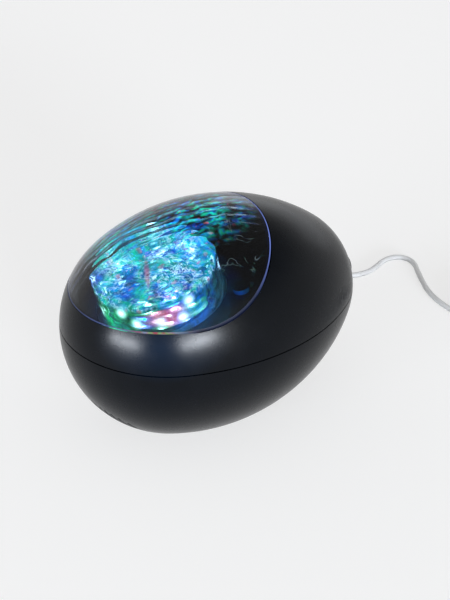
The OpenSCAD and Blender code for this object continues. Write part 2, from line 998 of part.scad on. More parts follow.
module gearbox() {
    color(grey)
    in_deck()
        translate([0, drive_gap, 0])
            difference() {
                union() {
                    translate([0, 0, plate_low - gearbox_h])
                        cylinder(r = gearbox_r, h = gearbox_h);
                    translate([-ear_x - ear_half_w, -ear_half_w, plate_low - ear_t])
                        cube([2 * (ear_x + ear_half_w), 2 * ear_half_w, ear_t]);
                }
                translate([0, 0, plate_low - gearbox_h / 2 - 0.5])
                    cylinder(r = shaft_r + running_gap, h = gearbox_h);
                both_sides([ear_x, 0])
                    translate([0, 0, plate_low - ear_t - 1])
                        cylinder(r = frame_screw_r + screw_gap, h = ear_t + 2);
            }
}

module motor_can() {
    color(steel)
    in_deck()
        translate([0, drive_gap, plate_low - gearbox_h - motor_h])
            cylinder(r = motor_r, h = motor_h);
}

module motor_screws() {
    color(steel)
    in_deck()
        translate([0, drive_gap, plate_top])
            both_sides([ear_x, 0])
                screw(frame_screw_r, [frame_head[0], frame_head[1], plate_t + ear_t + 1]);
}

module light_board() {
    color(board_green)
    in_deck()
        translate([0, 0, well_z])
            difference() {
                cylinder(r = collar_r - collar_wall - board_gap, h = board_t);
                lamp_screw_places()
                    translate([0, 0, -1])
                        cylinder(r = small_screw_r + screw_gap, h = board_t + 2);
                translate([0, 0, -1])
                    cylinder(r = wire_hole_r, h = board_t + 2);
            }
}

// Lamps stand on the light board at a radius, one at each angle
module lamps(place, turns) {
    in_deck()
        translate([0, 0, lamp_board_top])
            for (turn = turns)
                rotate(turn)
                    translate([place - lamp_w / 2, -lamp_w / 2, 0])
                        cube([lamp_w, lamp_w, lamp_h]);
}

module red_lamps() {
    color([0.85, 0.2, 0.2]) lamps(red_ring_r, [100, 220, 340]);
}

module green_lamps() {
    color([0.3, 0.85, 0.4]) lamps(lamp_ring_r, [80, 200, 320]);
}

module blue_lamps() {
    color([0.3, 0.45, 0.95]) lamps(lamp_ring_r, [140, 260]);
}

module white_lamp() {
    color([0.95, 0.95, 0.9]) lamps(lamp_ring_r, [20]);
}

// Loudspeaker

module at_speaker_screws() {
    translate([0, sound_shift, 0])
        for (turn = [45 : 90 : 315])
            rotate(turn)
                translate([sound_r - speaker_screw_in, 0, 0])
                    children();
}

module speaker_frame() {
    color(deep_black)
    in_speaker()
    difference() {
        translate([0, sound_shift, sound_seat - sound_flange_t - basket_h]) {
            cylinder(r1 = magnet_r, r2 = basket_top_r, h = basket_h);
            translate([0, 0, basket_h])
                cylinder(r = sound_r + 1, h = sound_flange_t);
        }
        translate([0, sound_shift, sound_seat - sound_flange_t - basket_h + 1])
            cylinder(r1 = magnet_r - basket_wall, r2 = basket_top_r - basket_wall, h = basket_h);
        translate([0, sound_shift, sound_seat - sound_flange_t - 1])
            cylinder(r = basket_top_r - basket_wall, h = sound_flange_t + 2);
        at_speaker_screws()
            translate([0, 0, sound_seat - sound_flange_t - 1])
                cylinder(r = small_screw_r + screw_gap, h = sound_flange_t + 2);
    }
}

module speaker_cone() {
    rim = basket_top_r - basket_wall;
    low = sound_seat - sound_flange_t - basket_h + 1;
    color(grey)
    in_speaker()
        translate([0, sound_shift, 0])
            rotate_extrude()
                polygon([
                    [0, low + 1],
                    [throat_r, low + 1],
                    [rim - fold_w, sound_seat - cone_t],
                    [rim, sound_seat - cone_t],
                    [rim, sound_seat],
                    [rim - fold_w - 0.2, sound_seat],
                    [throat_r - 0.2, low + 1 + cone_t],
                    [0, low + 1 + cone_t]
                ]);
}

module speaker_magnet() {
    color(steel)
    in_speaker()
        translate([0, sound_shift, sound_seat - sound_flange_t - basket_h - magnet_h])
            cylinder(r = magnet_r, h = magnet_h);
}

module speaker_screws() {
    color(steel)
    in_speaker() at_speaker_screws()
        translate([0, 0, sound_seat - sound_flange_t])
            rotate([180, 0, 0])
                screw(small_screw_r, [small_head[0], small_head[1], sound_flange_t + speaker_screw_grip]);
}

// Electronics

module main_board() {
    color(board_green)
    difference() {
        translate([-main_w / 2, main_y, main_z])
            cube([main_w, main_l, board_t]);
        for (p = post_places)
            translate([p[0], p[1], main_z - 1])
                cylinder(r = small_screw_r + screw_gap, h = board_t + 2);
    }
}

module on_main_board(x, y) {
    translate([x, main_y + y, main_z + board_t]) children();
}

module control_chip() {
    color(deep_black)
    on_main_board(-chip[0] / 2, main_l / 2 - chip[1] / 2)
        cube(chip);
}

module capacitors() {
    color(grey)
    for (x = can_places)
        on_main_board(x, main_l / 2)
            cylinder(r = can_r, h = can_h);
}

module cord_socket() {
    color(ivory)
    on_main_board(outlet_x - socket[0] / 2, main_l - socket_in)
        cube(socket);
}

module button_board() {
    color(board_green)
    difference() {
        translate([-key_board_w / 2, key_y - board_t, button_z - key_board_h / 2])
            cube([key_board_w, board_t, key_board_h]);
        for (side = [-1, 1])
            to_rear(side * key_post_x, key_y - board_t - 1, button_z)
                cylinder(r = small_screw_r + screw_gap, h = board_t + 2);
    }
}

module tact_switches() {
    color(deep_black)
    button_places()
        translate([0, 0, key_y])
            difference() {
                translate([-switch_w / 2, -switch_w / 2, 0])
                    cube([switch_w, switch_w, switch_h]);
                translate([0, 0, switch_h - switch_bore])
                    cylinder(r = plunger_r + running_gap, h = switch_bore + 1);
            }
}

// Push button: cap shaped by the egg, retaining flange, plunger in the switch
module button(i) {
    x = i * button_pitch;
    color(deep_black)
    union() {
        intersection() {
            egg(-button_proud);
            to_rear(x, button_flange_y, button_z)
                cylinder(r = button_r, h = big / 4);
        }
        to_rear(x, button_flange_y - button_flange_t, button_z)
            cylinder(r = button_flange_r, h = button_flange_t);
        to_rear(x, switch_top - plunger_depth, button_z)
            cylinder(r = plunger_r, h = button_flange_y - switch_top + plunger_depth);
    }
}

module power_button() {
    button(0);
}

module colour_button() {
    button(-1);
}

module sound_button() {
    button(1);
}

// Screws

module case_screws() {
    color(steel)
    for (p = foot_places)
        translate([p[0], p[1], case_seat_z])
            rotate([180, 0, 0])
                screw(case_screw_r, case_head);
}

module frame_screws() {
    color(steel)
    in_deck() {
        at_pillars()
            translate([0, 0, plate_low])
                rotate([180, 0, 0])
                    screw(frame_screw_r, frame_head);
        both_sides(front_lug) deck_screw();
        both_sides(rear_lug) deck_screw();
    }
}

module deck_screw() {
    translate([0, 0, -deck_t])
        rotate([180, 0, 0])
            screw(frame_screw_r, [frame_head[0], frame_head[1], front_lug_h]);
}

module board_screws() {
    color(steel)
    union() {
        for (p = post_places)
            translate([p[0], p[1], main_z + board_t])
                screw(small_screw_r, small_head);
        in_deck() lamp_screw_places()
            translate([0, 0, lamp_board_top])
                screw(small_screw_r, small_head);
        for (side = [-1, 1])
            to_rear(side * key_post_x, key_y - board_t, button_z)
                rotate([180, 0, 0])
                    screw(small_screw_r, small_head);
    }
}

// Cord

module strain_relief() {
    color(cord_white)
    union() {
        to_rear(outlet_x, relief_in, outlet_z)
            cylinder(r = relief_flange_r, h = relief_flange_t);
        to_rear(outlet_x, relief_in, outlet_z)
            cylinder(r = relief_r, h = outlet_y - relief_taper - relief_in);
        to_rear(outlet_x, outlet_y - relief_taper, outlet_z)
            cylinder(r1 = relief_r - 0.2, r2 = relief_tip_r, h = relief_taper);
    }
}

module usb_cord() {
    color(cord_white)
    tube_along(cord_path, cord_d / 2, cord_sides);
}

module usb_cord_coil() {
    color(cord_white)
    tube_along(coil_path, cord_d / 2, coil_sides);
}

// Flat tie around the bundle of loops, closed by a small block on top
module cable_tie() {
    lock = [4, 2.4, tie_w + 1];
    tie_gap = 0.3;
    in_r = coil_in_r - cord_d / 2 - 2 * tie_gap;
    out_r = coil_out_r + cord_d / 2 + tie_gap;
    bundle_h = 2 * coil_lift + coil_pitch - 2 * tie_t + tie_gap;
    color(cord_white)
    translate([coil_centre[0], coil_centre[1], 0])
        rotate([90, 0, 90])
            translate([0, 0, -tie_w / 2])
                union() {
                    linear_extrude(tie_w)
                        difference() {
                            translate([in_r - tie_t, 0])
                                square([out_r - in_r + 2 * tie_t, bundle_h + 2 * tie_t]);
                            translate([in_r, tie_t])
                                square([out_r - in_r, bundle_h]);
                        }
                    translate([coil_mid_r - lock[0] / 2, bundle_h + 2 * tie_t, (tie_w - lock[2]) / 2])
                        cube(lock);
                }
}

module rounded_block(w, h, r) {
    union() {
        square([w - 2 * r, h], center = true);
        square([w, h - 2 * r], center = true);
        for (x = [-1, 1], y = [-1, 1])
            translate([x * (w / 2 - r), y * (h / 2 - r)])
                circle(r = r);
    }
}

// Plug body with rounded edges and a few grip cuts across each side
module usb_plug_body() {
    color(cord_white)
    translate([plug_x, coil_start_y, plug_h / 2])
        difference() {
            rotate([90, 0, 90])
                linear_extrude(plug_l)
                    rounded_block(plug_w, plug_h, plug_edge_r);
            for (i = [1 : grip_cuts], side = [-1, 1])
                translate([i * grip_pitch, side * plug_w / 2 - grip_depth, -plug_h])
                    cube([grip_pitch / 2, 2 * grip_depth, 2 * plug_h]);
        }
}

module usb_plug_shell() {
    sheet = 0.4;
    tongue_t = 1.8;
    back_wall = 2;
    color(steel)
    translate([plug_x + plug_l, coil_start_y - tongue_w / 2, (plug_h - tongue_h) / 2])
        difference() {
            cube([tongue_l, tongue_w, tongue_h]);
            translate([back_wall, sheet, sheet + tongue_t])
                cube([tongue_l, tongue_w - 2 * sheet, tongue_h - 2 * sheet - tongue_t]);
        }
}

lower_shell();
upper_shell();
dome_cover();
dome_gasket();
rubber_feet();
light_deck();
chassis();
wave_lens();
lens_carrier();
lens_screws();
drive_pinion();
motor_shaft();
gearbox();
motor_can();
motor_screws();
light_board();
red_lamps();
green_lamps();
blue_lamps();
white_lamp();
speaker_frame();
speaker_cone();
speaker_magnet();
speaker_screws();
main_board();
control_chip();
capacitors();
cord_socket();
button_board();
tact_switches();
power_button();
colour_button();
sound_button();
case_screws();
frame_screws();
board_screws();
strain_relief();
usb_cord();
usb_cord_coil();
cable_tie();
usb_plug_body();
usb_plug_shell();
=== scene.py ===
"""Looks of an egg-shaped ocean wave projector: a satin black case, a clear rippled dome,
a crinkled drum lens that glows over its lamps, and a white USB cord."""

import math
from collections import namedtuple

import bpy
import numpy as np
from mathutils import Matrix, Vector, noise


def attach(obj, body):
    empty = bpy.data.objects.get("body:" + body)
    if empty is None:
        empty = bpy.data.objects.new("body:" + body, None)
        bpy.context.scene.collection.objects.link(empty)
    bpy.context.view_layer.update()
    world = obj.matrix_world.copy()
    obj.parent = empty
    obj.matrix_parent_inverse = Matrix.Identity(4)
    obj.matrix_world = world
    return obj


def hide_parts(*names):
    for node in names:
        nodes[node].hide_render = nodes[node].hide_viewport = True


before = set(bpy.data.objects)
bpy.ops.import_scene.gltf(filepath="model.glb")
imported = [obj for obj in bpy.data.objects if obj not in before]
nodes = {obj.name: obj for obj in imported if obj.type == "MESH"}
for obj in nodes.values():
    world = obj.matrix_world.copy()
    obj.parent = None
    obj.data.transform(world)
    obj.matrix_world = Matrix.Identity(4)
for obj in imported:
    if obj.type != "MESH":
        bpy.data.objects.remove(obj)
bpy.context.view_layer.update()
scene = bpy.context.scene
scene.view_settings.view_transform = "Standard"

# Sizes in millimetres and degrees, as in the part
MM = 0.001  # metres in a millimetre
FAT_R = 54.0  # radius of the fat front end
NOSE_R = 41.0  # radius of the nose at the rear
SIDE_R = 105.0  # radius of the long side arc between the two ends
CENTRE_GAP = 60.0  # distance between the centres of the two ends
NOSE_LIFT = 4.0  # angle by which the nose is lifted
MIDDLE_Z = 51.2  # height of the egg's middle above the floor
RIM_Y = -6.9  # place of the dome's axis at the egg's middle
RIM_TILT = 26.0  # tilt of the dome to the front
DOME_R = 50.0  # radius of the dome
DOME_T = 2.2  # thickness of the dome
DECK_Y = -27.8  # place of the lens axis on the deck
DECK_Z = 66.2  # height of the lens axis on the deck
DECK_TILT = 14.0  # tilt of the deck and of the drum lens on it
DRUM_R = 31.5  # outer radius of the drum lens
DRUM_RISE = 19.5  # top of the drum, above the deck
DRUM_LOW = -2.8  # foot of the drum, below the deck
DRUM_WALL = 2.2  # wall of the drum
LAMP_RING_R = 14.0  # radius of the ring of outer lamps
RED_RING_R = 6.0  # radius of the ring of red lamps
LAMP_W = 5.0  # side of a square lamp
LAMP_H = 1.6  # height of a lamp
LAMP_BOARD_TOP = -12.4  # top of the light board, below the deck
CORD_D = 3.0  # diameter of the cord

# Camera: the photograph's angle, distance and framing
IMAGE_W = 450  # pixels
IMAGE_H = 600  # pixels
VIEW_AZIMUTH = 58.21  # degrees from the front, -Y, towards +X
VIEW_ELEVATION = 30.73  # degrees above the floor
VIEW_DISTANCE = 0.8154  # metres
VIEW_TARGET = Vector((0, 0, 0.04722))  # metres
TARGET_PX = 210.27  # pixel column of the target
TARGET_PY = 314.51  # pixel row of the target
FOCAL_PX = 1638.76  # focal length in pixels
SENSOR_W = 36.0
CLIP_START = 0.01  # metres


def new_object(name, data):
    """A new object in the scene."""
    made = bpy.data.objects.new(name, data)
    scene.collection.objects.link(made)
    return made


def direction(azimuth, elevation):
    """Away from the object, by degrees from the front towards +X and above the floor."""
    a, e = math.radians(azimuth), math.radians(elevation)
    return Vector((math.sin(a) * math.cos(e), -math.cos(a) * math.cos(e), math.sin(e)))


def make_camera():
    back = direction(VIEW_AZIMUTH, VIEW_ELEVATION)
    data = bpy.data.cameras.new("camera")
    data.sensor_width = SENSOR_W
    data.lens = FOCAL_PX * SENSOR_W / IMAGE_H
    data.shift_x = (IMAGE_W / 2 - TARGET_PX) / IMAGE_H
    data.shift_y = (TARGET_PY - IMAGE_H / 2) / IMAGE_H
    data.clip_start = CLIP_START
    camera = new_object("camera", data)
    camera.location = VIEW_TARGET + VIEW_DISTANCE * back
    camera.rotation_euler = back.to_track_quat("Z", "Y").to_euler()
    scene.camera = camera


make_camera()


# Frames of the egg, the dome's rim and the deck

TiltedFrame = namedtuple("TiltedFrame", "origin axes")


def tilted(origin, angle):
    """A frame turned about X: its origin and its three axes, in millimetres."""
    c, s = math.cos(math.radians(angle)), math.sin(math.radians(angle))
    return TiltedFrame(np.array(origin, float), np.array([[1, 0, 0], [0, c, s], [0, -s, c]]))


RIM = tilted((0, RIM_Y, MIDDLE_Z), RIM_TILT)
DECK = tilted((0, DECK_Y, DECK_Z), DECK_TILT)
LIFT = math.radians(NOSE_LIFT)
EGG_L = FAT_R + CENTRE_GAP * math.cos(LIFT) + NOSE_R
EGG_AXIS = np.array([0, math.cos(LIFT), math.sin(LIFT)])
FAT_CENTRE = np.array([
    0,
    FAT_R - EGG_L / 2,
    MIDDLE_Z - (CENTRE_GAP + NOSE_R - FAT_R) / 2 * math.sin(LIFT),
])
# Centre of the side arc: along the axis from the fat end's centre, and beyond the axis
SIDE_S = ((SIDE_R - FAT_R) ** 2 - (SIDE_R - NOSE_R) ** 2 + CENTRE_GAP ** 2) / (2 * CENTRE_GAP)
SIDE_Q = math.sqrt((SIDE_R - FAT_R) ** 2 - SIDE_S ** 2)
ABOVE_EGG = 80.0  # a height over the rim's origin that is clear of the egg
EGG_STEPS = 60  # steps down to the egg from there
TINY = 1e-9  # keeps a division from zero


def place(at, local):
    """Points of a tilted frame in the part's frame."""
    return at.origin + np.asarray(local, float) @ at.axes


def egg_distance(points):
    """Signed distance of points to the smooth egg, and the direction away from it."""
    from_fat = points - FAT_CENTRE
    s = from_fat @ EGG_AXIS
    radial = from_fat - s[:, None] * EGG_AXIS
    q = np.linalg.norm(radial, axis=1)
    slope = (s - SIDE_S) / (q + SIDE_Q)
    at_fat = slope < -SIDE_S / SIDE_Q
    at_nose = slope > (CENTRE_GAP - SIDE_S) / SIDE_Q
    centre_s = np.where(at_fat, 0, np.where(at_nose, CENTRE_GAP, SIDE_S))
    centre_q = np.where(at_fat | at_nose, 0, -SIDE_Q)
    radius = np.where(at_fat, FAT_R, np.where(at_nose, NOSE_R, SIDE_R))
    ds, dq = s - centre_s, q - centre_q
    length = np.hypot(ds, dq)
    out = radial / np.maximum(q, TINY)[:, None]
    away = (ds / length)[:, None] * EGG_AXIS + (dq / length)[:, None] * out
    return length - radius, away


def on_egg(x, y, inset):
    """Points above places x, y of the rim's frame, on the egg drawn in by inset."""
    points = place(RIM, np.stack([x, y, np.full_like(x, ABOVE_EGG)], axis=1))
    down = -RIM.axes[2]
    for _ in range(EGG_STEPS):
        distance, _away = egg_distance(points)
        points = points + (distance + inset)[:, None] * down
    return points


# Mesh helpers

NOISE_SHIFT = np.array([17.3, 5.1, 9.7])  # parts the noises of two seeds


def add_piece(name, verts, faces, material, body, smooth=True):
    """A new mesh piece, given in millimetres, that rides on a body."""
    mesh = bpy.data.meshes.new(name)
    mesh.from_pydata([tuple(v) for v in np.asarray(verts) * MM], [], faces)
    mesh.validate()
    mesh.update()
    if smooth:
        mesh.shade_smooth()
    piece = new_object(name, mesh)
    mesh.materials.append(material)
    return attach(piece, body)


def grid_faces(rows, columns, start=0, flip=False):
    """Quads between rows of points that close round each row."""
    faces = []
    for i in range(rows - 1):
        for k in range(columns):
            a = start + i * columns + k
            b = start + i * columns + (k + 1) % columns
            quad = (a, a + columns, b + columns, b)
            faces.append(quad[::-1] if flip else quad)
    return faces


def angles_round(count):
    """Evenly spaced angles round a full turn."""
    return np.arange(count) * 2 * math.pi / count


def wave_noise(points, size, seed):
    """Smooth noise from -1 to 1 at points, in millimetres."""
    shift = Vector(seed * NOISE_SHIFT)
    return np.array([noise.noise(Vector(p / size) + shift) for p in points])


# Shader helpers

NOISE_SPREAD = (0.3, 0.7)  # where most values of a noise lie
Glow = namedtuple("Glow", "place reach strength")


def grey(level):
    return (level, level, level)


def feed(tree, socket, value):
    """Links a socket to a node's output, or sets it to a number, a vector or a colour."""
    if isinstance(value, bpy.types.NodeSocket):
        tree.links.new(value, socket)
    elif socket.type == "RGBA":
        socket.default_value = (*value, 1)
    else:
        socket.default_value = value


def set_inputs(tree, made, **inputs):
    """Feeds a node's sockets by name, with _ for a space."""
    for key, value in inputs.items():
        feed(tree, made.inputs[key.replace("_", " ")], value)


def node(tree, kind, **inputs):
    """A new shader node with its sockets fed by name."""
    made = tree.nodes.new(kind)
    set_inputs(tree, made, **inputs)
    return made


def shader_of(material):
    """A material's node tree and its main shader."""
    return material.node_tree, material.node_tree.nodes["Principled BSDF"]


def new_material(name):
    """A new material with its node tree and its main shader."""
    material = bpy.data.materials.new(name)
    material.use_nodes = True
    return material, *shader_of(material)


def math_node(tree, operation, *values):
    made = tree.nodes.new("ShaderNodeMath")
    made.operation = operation
    for socket, value in zip(made.inputs, values):
        feed(tree, socket, value)
    return made.outputs[0]


def vector_math(tree, operation, *values):
    made = tree.nodes.new("ShaderNodeVectorMath")
    made.operation = operation
    for socket, value in zip(made.inputs, values):
        feed(tree, socket, value)
    return made.outputs["Value" if operation in ("LENGTH", "DOT_PRODUCT") else "Vector"]


def product(tree, *factors):
    result = factors[0]
    for factor in factors[1:]:
        result = math_node(tree, "MULTIPLY", result, factor)
    return result


def map_range(tree, value, source, target=(0.0, 1.0)):
    """A value stretched from one range to another, and held at its ends."""
    made = node(tree, "ShaderNodeMapRange", Value=value, From_Min=source[0], From_Max=source[1],
                To_Min=target[0], To_Max=target[1])
    return made.outputs["Result"]


def blend(tree, factor, first, second):
    """Colour between two colours."""
    made = tree.nodes.new("ShaderNodeMix")
    made.data_type = "RGBA"
    colour_inputs = [socket for socket in made.inputs if socket.type == "RGBA"]
    feed(tree, made.inputs[0], factor)
    feed(tree, colour_inputs[0], first)
    feed(tree, colour_inputs[1], second)
    return next(socket for socket in made.outputs if socket.type == "RGBA")


def ramp(tree, factor, stops):
    """Colours at stops along a factor, blended between them."""
    made = node(tree, "ShaderNodeValToRGB", Fac=factor)
    elements = made.color_ramp.elements
    while len(elements) < len(stops):
        elements.new(0.5)
    for element, (position, colour) in zip(elements, stops):
        element.position = position
        element.color = (*colour, 1)
    return made.outputs["Color"]


def object_coordinates(tree):
    return tree.nodes.new("ShaderNodeTexCoord").outputs["Object"]


def measured_from(tree, place_mm, rotation, scale=(1, 1, 1)):
    """Object coordinates from a place, turned by degrees about each axis and scaled."""
    made = node(tree, "ShaderNodeMapping", Vector=object_coordinates(tree),
                Location=Vector(place_mm) * MM, Scale=scale,
                Rotation=[math.radians(angle) for angle in rotation])
    made.vector_type = "TEXTURE"
    return made.outputs["Vector"]


def split_xyz(tree, vector):
    return node(tree, "ShaderNodeSeparateXYZ", Vector=vector).outputs


def nearness(tree, place_mm, reach_mm, turn=0.0):
    """One at a place, falling to zero at a reach, which may differ along axes turned about Z."""
    reach = Vector(np.broadcast_to(reach_mm, 3)) * MM
    offset = measured_from(tree, place_mm, (0, 0, turn), reach)
    return map_range(tree, vector_math(tree, "LENGTH", offset), (0.0, 1.0), (1.0, 0.0))


def glow_at(tree, glow):
    """A glow's strength at its place, falling to zero at its reach."""
    return product(tree, nearness(tree, glow.place, glow.reach), glow.strength)


def noise_at(tree, scale, detail=3.0, distortion=0.0):
    made = node(tree, "ShaderNodeTexNoise", Vector=object_coordinates(tree), Scale=scale,
                Detail=detail, Distortion=distortion)
    return made.outputs["Fac"]


def cloudy(tree, first, second, scale, spread=NOISE_SPREAD):
    """Clouds between two colours."""
    return ramp(tree, noise_at(tree, scale), [(spread[0], first), (spread[1], second)])


# Plain materials

CLOUD_SCALE = 60.0  # clouds to a metre in the colour; the gloss has twice as many
GRAIN_DEPTH = 0.1  # depth of the fine grain
CHASSIS_LOOK = ((0.03, 0.031, 0.034), (0.04, 0.041, 0.045), (0.45, 0.55), 1200)
SPILL = Glow((41, -52, 67), (34, 34, 18), 0.035)  # light from the lens on the case
SPILL_COLOUR = (0.0, 0.3, 1.0)


def moulded(name, dark, light, rough, grain, bump=0.1, specular=0.5, metallic=0.0):
    """Moulded plastic, rubber or metal: cloudy colour, uneven gloss and a fine grain."""
    material, tree, shader = new_material(name)
    grains = node(tree, "ShaderNodeBump", Height=noise_at(tree, grain, detail=2.0), Strength=bump,
                  Distance=GRAIN_DEPTH * MM)
    set_inputs(tree, shader,
               Base_Color=cloudy(tree, dark, light, CLOUD_SCALE),
               Roughness=map_range(tree, noise_at(tree, 2 * CLOUD_SCALE), NOISE_SPREAD, rough),
               Normal=grains.outputs["Normal"],
               Specular_IOR_Level=specular,
               Metallic=metallic)
    return material


def spilt_on(material):
    """Adds a little of the lens's blue light to the front of the case."""
    tree, shader = shader_of(material)
    set_inputs(tree, shader, Emission_Color=SPILL_COLOUR, Emission_Strength=glow_at(tree, SPILL))
    return material


def let_light_through(material):
    """Soft white plastic: light spreads inside it, so its shaded side stays pale."""
    tree, shader = shader_of(material)
    set_inputs(tree, shader, Subsurface_Weight=1.0, Subsurface_Radius=(1, 1, 1),
               Subsurface_Scale=CORD_D * MM)
    return material


# Each has its darker and its lighter colour, its range of roughness and its grains to a metre
case_black = spilt_on(moulded(
    "case_black", (0.0005, 0.0015, 0.003), (0.001, 0.002, 0.004), (0.25, 0.29), 2600, bump=0.06,
    specular=0.13))
button_black = moulded(
    "button_black", (0.006, 0.006, 0.007), (0.009, 0.009, 0.01), (0.5, 0.6), 2200)
foam_black = moulded("foam_black", grey(0.01), grey(0.02), (0.9, 1.0), 900, bump=0.6)
foot_rubber = moulded(
    "foot_rubber", (0.012, 0.012, 0.013), (0.02, 0.02, 0.021), (0.7, 0.85), 1400, bump=0.3)
chassis_grey = moulded("chassis_grey", *CHASSIS_LOOK)
gear_ivory = moulded("gear_ivory", (0.7, 0.67, 0.58), (0.78, 0.75, 0.67), (0.35, 0.45), 1000)
steel = moulded(
    "steel", (0.5, 0.51, 0.53), (0.6, 0.61, 0.63), (0.2, 0.32), 800, bump=0.05, metallic=1.0)
board_green = moulded("board_green", (0.012, 0.09, 0.045), (0.02, 0.13, 0.07), (0.3, 0.4), 700)
speaker_black = moulded(
    "speaker_black", (0.008, 0.008, 0.009), (0.013, 0.013, 0.014), (0.5, 0.6), 1200)
cone_paper = moulded(
    "cone_paper", (0.05, 0.05, 0.055), (0.09, 0.09, 0.095), (0.8, 0.9), 600, bump=0.5)
chip_black = moulded("chip_black", (0.01, 0.01, 0.011), (0.016, 0.016, 0.017), (0.5, 0.6), 1800)
can_grey = moulded("can_grey", (0.3, 0.3, 0.32), (0.4, 0.4, 0.42), (0.3, 0.4), 600, metallic=1.0)
cord_white = let_light_through(moulded(
    "cord_white", grey(0.72), grey(0.77), (0.5, 0.6), 1500, bump=0.08, specular=0.2))
plug_white = let_light_through(moulded(
    "plug_white", grey(0.72), grey(0.78), (0.4, 0.5), 1500, bump=0.08, specular=0.3))


# Sea light: colours and patterns that the dome and the lens share

SEA_STOPS = [
    (0.32, (0.0, 0.08, 0.7)),
    (0.41, (0.0, 0.28, 0.85)),
    (0.47, (0.0, 0.6, 0.75)),
    (0.52, (0.0, 0.75, 0.35)),
    (0.57, (0.0, 0.6, 0.7)),
    (0.63, (0.0, 0.3, 0.85)),
    (0.7, (0.02, 0.1, 0.7)),
]
PINK = (0.95, 0.2, 0.35)
PINK_SCALE = 1.9  # pink patches to one sea patch
PINK_FROM = (0.67, 0.72)  # noise at which the pink starts and is full
PINK_SHARE = 0.9
ICE = (0.78, 1.0, 1.0)
WAVE_TURN = 20  # radians of a wave texture to one unit of its scale


def sea_light(tree, scale):
    """Blue, teal and green patches, with a little pink."""
    sea = ramp(tree, noise_at(tree, scale, detail=2.0, distortion=0.6), SEA_STOPS)
    pink = map_range(tree, noise_at(tree, scale * PINK_SCALE, detail=1.0), PINK_FROM, (0.0, PINK_SHARE))
    return blend(tree, pink, sea, PINK)


def ridge(tree, scale, width, distortion=1.4):
    """Thin bright lines where a noise passes its middle value."""
    off_middle = math_node(tree, "SUBTRACT", noise_at(tree, scale, distortion=distortion), 0.5)
    return map_range(tree, math_node(tree, "ABSOLUTE", off_middle), (0.0, width), (1.0, 0.0))


def ripple_bands(tree, length_mm):
    """Wavy bands from front to rear, a ripple apart."""
    made = node(tree, "ShaderNodeTexWave", Vector=object_coordinates(tree), Distortion=6.0, Detail=2.0,
                Detail_Scale=2.0, Scale=2 * math.pi / (WAVE_TURN * length_mm * MM))
    made.wave_type = "BANDS"
    made.bands_direction = "X"
    return made.outputs["Fac"]


# Dome materials

SMOKE = ((0.2, 0.23, 0.28), (0.24, 0.27, 0.32))
DOME_IOR = 1.3
TOP_GLOW = Glow((2, -11, 107), (26, 34, 18), 1.6)  # painted light in bright patches near the top
SIDE_GLOW = Glow((-22, -38, 91), (24, 24, 18), 0.45)  # painted light in fainter bands on the side, -X
LIGHT_THREADS = Glow((30, 2, 98), (26, 24, 20), 0.3)  # painted light in thin pale threads on the clear side, +X
GLOW_BAND = 4.5  # from one bright band to the next
EDGE_BLACK = ((0.01, 0.012, 0.02), (0.02, 0.025, 0.04))
# Painted light on the cut edge: blue, with mixed colours in front
EDGE_GLOW_BLUE = (0.2, 0.3, 0.95)
EDGE_STRENGTH = 0.8
# Brightness of the painted light on the edge at shares of a turn, from -X by way of the front
EDGE_LEVELS = [
    (0.0, 0.1),
    (0.25, 0.12),
    (0.4, 0.5),
    (0.45, 0.03),
    (0.55, 0.05),
    (0.6, 0.4),
    (0.65, 0.9),
    (0.74, 0.4),
    (0.84, 0.15),
]
EDGE_MIXED_AT = 0.4  # share of a turn where mixed colours replace the blue
EDGE_MIXED_REACH = (0.02, 0.07)  # shares of a turn from there over which they fade
EDGE_MIXED_STOPS = [
    (0.36, (0.9, 0.1, 0.15)),
    (0.45, (0.35, 0.9, 0.2)),
    (0.52, (0.9, 0.4, 0.6)),
    (0.6, (0.5, 0.7, 1.0)),
]


def clear_dome_material():
    """Smoky clear plastic, with painted light from inside where its ripples would catch it near the top.
    """
    material, tree, shader = new_material("clear_dome")
    # Painted light: the emission below stands in for the lens's light caught by the ripples
    bands = map_range(tree, ripple_bands(tree, GLOW_BAND), (0.3, 1.0), (0.04, 1.0))
    patches = map_range(tree, noise_at(tree, scale=160, detail=2.0, distortion=0.5), (0.38, 0.66))
    top_glow = product(tree, glow_at(tree, TOP_GLOW), bands, patches)
    side_glow = product(tree, glow_at(tree, SIDE_GLOW), bands)
    # Painted light: thin pale threads of glinting light on the clear side
    broken = map_range(tree, noise_at(tree, scale=110, detail=1.0), (0.52, 0.62))
    threads = ridge(tree, scale=65, width=0.012, distortion=0.8)
    thread_light = product(tree, glow_at(tree, LIGHT_THREADS), threads, broken)
    pale = map_range(tree, thread_light, (0.0, 0.1), (0.0, 0.9))
    glows = math_node(tree, "ADD", top_glow, side_glow)
    set_inputs(tree, shader,
               Base_Color=cloudy(tree, *SMOKE, scale=40),
               Roughness=0.0,
               IOR=DOME_IOR,
               Transmission_Weight=1.0,
               Emission_Color=blend(tree, pale, sea_light(tree, scale=130), ICE),
               Emission_Strength=math_node(tree, "ADD", glows, thread_light))
    return material


